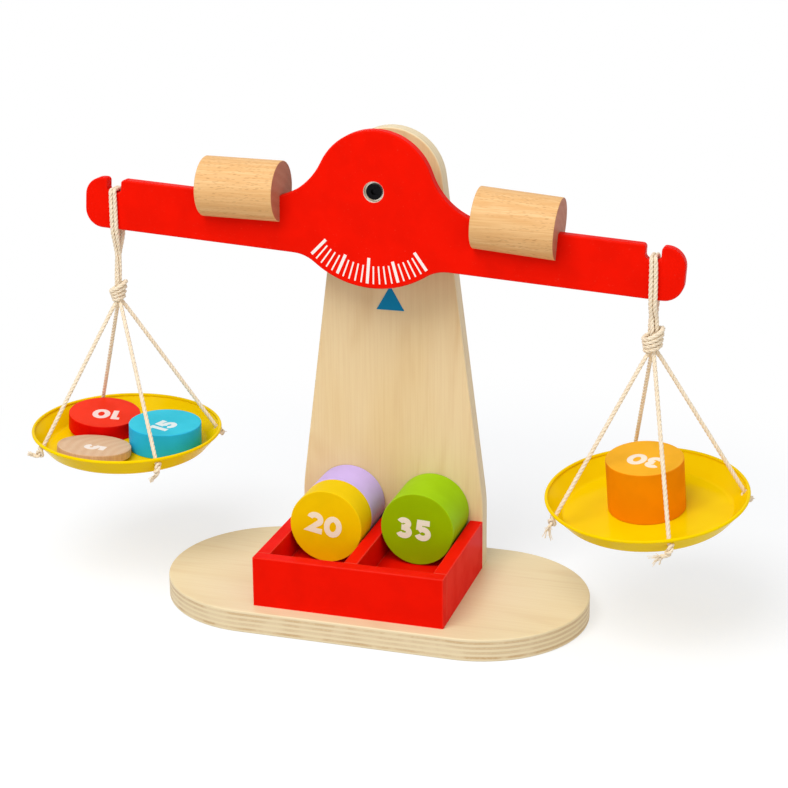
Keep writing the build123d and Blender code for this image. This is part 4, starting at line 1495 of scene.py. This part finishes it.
@dataclass
class HangingPan:
    """A pan with its four strands, the gathering knot and the doubled cords over the notch.

    Angles are in degrees. A thickness of a cord is a share of the whole cord's, and a share of a leg runs from 0 where
    it leaves the beam's face to 1 at the knot.
    """

    side: str
    loop_pivot: Vector
    knot_top: Vector
    drop: float
    lean: tuple[float, float]
    hole_angles: tuple[float, ...]
    tails: tuple[TailEnd, ...]
    knot: OverhandKnot
    gather: GatherKnot
    waist: float
    waist_cord: float
    bundle_turn: float = 70.0
    aside: float = 0.0
    knot_aside: float = 0.0
    cord_radius: float = 1.22 * MM
    packed_share: float = 0.93
    pivot_rise: float = 1.7 * MM
    floor_radius: float = 43.5 * MM
    depth: float = 9.5 * MM
    wall_reach: float = 7.9 * MM
    hole_reach: float = 5.9 * MM
    beam_half: float = 3.25 * MM
    face_gap: float = 0.12 * MM
    straight_drop: float = 24.0 * MM
    notch_bend: float = 2.2 * MM
    leg_sunk: float = 2.4 * MM
    leg_over: float = 0.5 * MM
    leg_shares: tuple[float, float] = (0.72, 0.45)
    spread_share: float = 0.12
    strand_bend: float = 1.2 * MM
    strand_shares: tuple[float, float, float] = (0.06, 0.2, 0.8)
    end_knot_thick: float = 1.7 * MM
    end_knot_reach: float = 3.0 * MM

    @property
    def hang(self) -> Vector:
        """The middle of the notch's floor."""
        return self.loop_pivot - UP * self.pivot_rise

    @property
    def knot_middle(self) -> Vector:
        """The middle of the gathering knot."""
        return self.knot_top + Vector((self.aside + self.knot_aside, 0.0, -self.gather.sink))

    def rim(self) -> Matrix:
        """The pan's own axes, at the middle of its rim."""
        tip, tilt = (Matrix.Rotation(math.radians(angle), 4, axis) for angle, axis in zip(self.lean, "XY"))
        return Matrix.Translation(self.hang - UP * self.drop) @ tip @ tilt

    def hole(self, angle: float) -> Vector:
        """Where a strand goes through the pan's wall."""
        out = self.floor_radius + self.hole_reach
        height = self.hole_reach * self.depth / self.wall_reach - self.depth
        turn = math.radians(angle)
        return self.rim() @ Vector((out * math.cos(turn), out * math.sin(turn), height))

    def packed(self, corner: int) -> float:
        """The angle of one of the four cords where they enter the knot, in radians."""
        return math.radians(45.0 + 90.0 * corner + self.bundle_turn)

    def knot_routes(self) -> list[CordLine]:
        """The four cords through the gathering knot, each leaving it towards its own hole."""
        middle, knot, routes = self.knot_middle, self.gather, []
        down = UP * (2 * knot.spacing)
        for index, angle in enumerate(self.hole_angles):
            enter = middle + level_way(self.packed(index)) * knot.core + down
            leave = middle + level_way(math.radians(angle)) * knot.core - down * 0.9
            points = [enter, *knot.wrap(index, middle, PhotoCamera().right), leave]
            routes.append(CordLine(points, [knot.cord] * len(points)))
        return routes

    def strand_routes(self) -> tuple[list[CordLine], list[CordLine]]:
        """The four cords from the knot to the pan's holes, each with its end knot and tail, and their loose ends."""
        routes, loose = self.knot_routes(), []
        for route, angle, tail in zip(routes, self.hole_angles, self.tails):
            hole, leave = self.hole(angle), route.points[-1]
            way, out = (hole - leave).normalized(), tail.way.normalized()
            route.add(leave + (way - UP * 0.6) * self.strand_bend, self.gather.cord)
            for share in self.strand_shares:
                route.add(leave.lerp(hole, share), 0.94)
            for reach, thickness in ((-self.strand_bend, 0.9), (0.0, 0.95), (self.strand_bend / 3, 0.9)):
                route.add(hole + way * reach, thickness)
            knot_at = hole + way * self.end_knot_reach
            for spot in self.knot.placed(knot_at, -way, tail.turn, self.end_knot_thick):
                route.add(spot, self.end_knot_thick / (2 * self.cord_radius))
            start = route.points[-1]
            bend = start + (way + out).normalized() * self.strand_bend
            end = bend + out * tail.length
            for spot, thickness in ((bend, 0.8), (start.lerp(end, 0.7), 0.92), (end, 1.0)):
                route.add(spot, thickness)
            fray = CordLine()
            for reach, drop in ((-1.0, 0.0), (0.8, 0.1), (2.0, 0.4), (3.2, 1.1)):
                fray.add(end + (out * reach - UP * drop) * MM, tail.spread)
            loose.append(fray)
        return routes, loose

    def leg(self, way: int, face_side: int) -> CordLine:
        """One cord from the knot up one face of the beam and in over the notch.

        Args:
            way: -1 for the left cord, 1 for the right one.
            face_side: -1 for the front face, 1 for the back.

        Returns:
            The route.
        """
        face = self.beam_half + self.cord_radius + self.face_gap
        inner = self.cord_radius * self.packed_share
        top, mouth = self.loop_pivot.z - self.hang.z, self.knot_top.z - self.hang.z
        narrow = self.packed({(-1, -1): 2, (1, -1): 3, (-1, 1): 1, (1, 1): 0}[way, face_side])
        start = narrow - math.radians(self.bundle_turn)

        def height_at(share: float) -> float:
            """The height over the notch's floor at a share of the leg."""
            return mouth * share - self.straight_drop * (1 - share)

        leg = CordLine()
        bundle = [(mouth - self.leg_sunk, 1.0, 0.9), (mouth + self.leg_over, 1.0, 0.97)]
        bundle += [(height_at(share), share, 1.0) for share in self.leg_shares]
        for height, share, slim in bundle:
            angle = start + (narrow - start) * share
            across = self.aside + self.knot_aside * share
            spot = Vector((self.waist * math.cos(angle) + across, self.waist * math.sin(angle), height))
            leg.add(self.hang + spot, self.waist_cord * slim)
        spread = (way * inner * 0.9 + self.aside * 0.8, face_side * (self.waist + face) / 2)
        leg.add(self.hang + Vector((*spread, height_at(self.spread_share))), (1.0 + self.waist_cord) / 2)
        for height, out, slim in (
            (3 * MM - self.straight_drop, face, 1.0),
            (-self.straight_drop / 2, face, 1.0),
            (top - self.notch_bend, face, 0.96),
            (top, face, 0.88),
            (top, face - self.notch_bend, 0.82),
        ):
            across = way * inner * slim + self.aside * (3 * slim - 2)
            leg.add(self.hang + Vector((across, face_side * out, height)), slim)
        return leg

    def loop_routes(self) -> list[CordLine]:
        """The two cords over the notch, down both faces of the beam and twisted together into the knot."""
        lines = []
        for way in (-1, 1):
            front, rear = self.leg(way, -1), self.leg(way, 1)
            lines.append(CordLine(front.points + rear.points[::-1], front.thickness + rear.thickness[::-1]))
        return lines

    def build(self, enamel: bpy.types.Material, cord: Sheet, fray: Sheet) -> None:
        """Makes the cords and dresses the pan.

        Args:
            enamel: The pan's material.
            cord: The twisted cord tree.
            fray: The frayed end tree.
        """
        dress(f"{self.side}_pan", enamel)
        loops = run_tree(lines_piece("loop_lines", self.loop_routes()), cord, f"{self.side}_loops")
        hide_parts(f"{self.side}_cord_loops")
        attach(loops, f"{self.side}_loop")
        routes, loose = self.strand_routes()
        strands = run_tree(lines_piece("strand_lines", routes), cord, f"{self.side}_strands")
        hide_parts(f"{self.side}_cord_strands")
        frays = run_tree(lines_piece("fray_lines", loose), fray, f"{self.side}_frayed_ends", {"Seed": SEED})
        for piece in (strands, frays):
            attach(piece, f"{self.side}_hanger")
        for piece in (loops, strands, frays):
            LOG.info("laid %s, %d faces", piece.name, len(piece.data.polygons))


def joint_place(name: str) -> Vector:
    """The place of a joint of the frame."""
    return Vector(next(joint["pos_m"] for joint in frame["joints"] if joint["name"] == name))


def main() -> None:
    """Builds the sub-assemblies in order."""
    logging.basicConfig(level=logging.INFO, format="%(name)s: %(message)s")
    PhotoCamera().build()
    Studio().build()
    cotton = Cotton("cotton_cord").build()
    enamel = Enamel("yellow_enamel").build()
    cord, fray = twisted_cord_tree(cotton), frayed_end_tree(cotton)
    tight = OverhandKnot()
    left = HangingPan(
        "left", joint_place("left_loop_turn"), joint_place("left_pan_sway"), drop=133.7 * MM, lean=(1.8, 1.9),
        hole_angles=(228.0, 313.0, 28.0, 132.0),
        tails=(
            TailEnd(Vector((-1.0, -0.1, 0.5)), 0.6 * MM, 2.0 * MM, 20.0),
            TailEnd(Vector((-0.85, -0.3, -0.6)), 0.5 * MM, 1.2 * MM, 80.0),
            TailEnd(Vector((-0.2, 1.0, 0.2)), 0.6 * MM, 0.4 * MM, 140.0),
            TailEnd(Vector((-0.6, 0.8, -0.2)), 0.8 * MM, 1.5 * MM, 200.0),
        ),
        knot=tight, gather=GatherKnot(
            radius=4.2 * MM, spacing=2.15 * MM, cord=0.96, slopes=(32.0, 18.0), taper=0.66, sink=6.2 * MM,
            core=1.0 * MM,
        ),
        waist=1.15 * MM, waist_cord=0.74, knot_aside=-1.3 * MM,
    )
    right = HangingPan(
        "right", joint_place("right_loop_turn"), joint_place("right_pan_sway"), drop=123.2 * MM, lean=(7.0, -3.0),
        hole_angles=(211.0, 292.0, 14.0, 108.0),
        tails=(
            TailEnd(Vector((-0.3, -0.4, -0.5)), 2.8 * MM, 0.2 * MM, 30.0),
            TailEnd(Vector((-1.0, -0.25, -0.15)), 2.6 * MM, 3.5 * MM, 100.0),
            TailEnd(Vector((0.0, 1.0, 0.0)), 1.0 * MM, 0.6 * MM, 170.0),
            TailEnd(Vector((0.2, 0.9, -0.3)), 1.0 * MM, 1.5 * MM, 240.0),
        ),
        knot=tight, gather=GatherKnot(
            radius=4.8 * MM, spacing=2.35 * MM, cord=1.0, slopes=(30.0, 20.0), taper=0.82, sink=5.6 * MM,
        ),
        waist=1.75 * MM, waist_cord=1.0, bundle_turn=35.0, aside=0.9 * MM,
    )
    for pan in (left, right):
        pan.build(enamel, cord, fray)
    Stand().build()
    Tray().build()
    Beam(joint_place("beam_tilt")).build()
    slider_beech = Beech("slider_beech").build()
    for side in ("left", "right"):
        dress(f"{side}_slider", slider_beech)
    forward = Vector((0.0, -1.0, 0.0))
    discs = (
        DiscWeight(DiscShade.TWENTY, forward, -9.0, shift=(-0.9 * MM, 0.9 * MM), gap=0.06),
        DiscWeight(DiscShade.TWENTY_FIVE, forward, 4.0),
        DiscWeight(DiscShade.THIRTY_FIVE, forward, -3.0, shift=(-1.7 * MM, 0.0), gap=0.15),
        DiscWeight(DiscShade.TEN, UP, 176.0, shift=(1.6 * MM, -3.0 * MM), gap=0.12),
        DiscWeight(DiscShade.FIFTEEN, UP, 56.0, shift=(-0.2 * MM, -5.8 * MM)),
        DiscWeight(DiscShade.FIVE, UP, -100.0, shift=(0.8 * MM, -4.0 * MM)),
        DiscWeight(DiscShade.THIRTY, UP, 146.0, shift=(-0.2 * MM, -3.5 * MM), gap=0.05),
    )
    for disc in discs:
        disc.build()


if __name__ == "__main__":
    main()
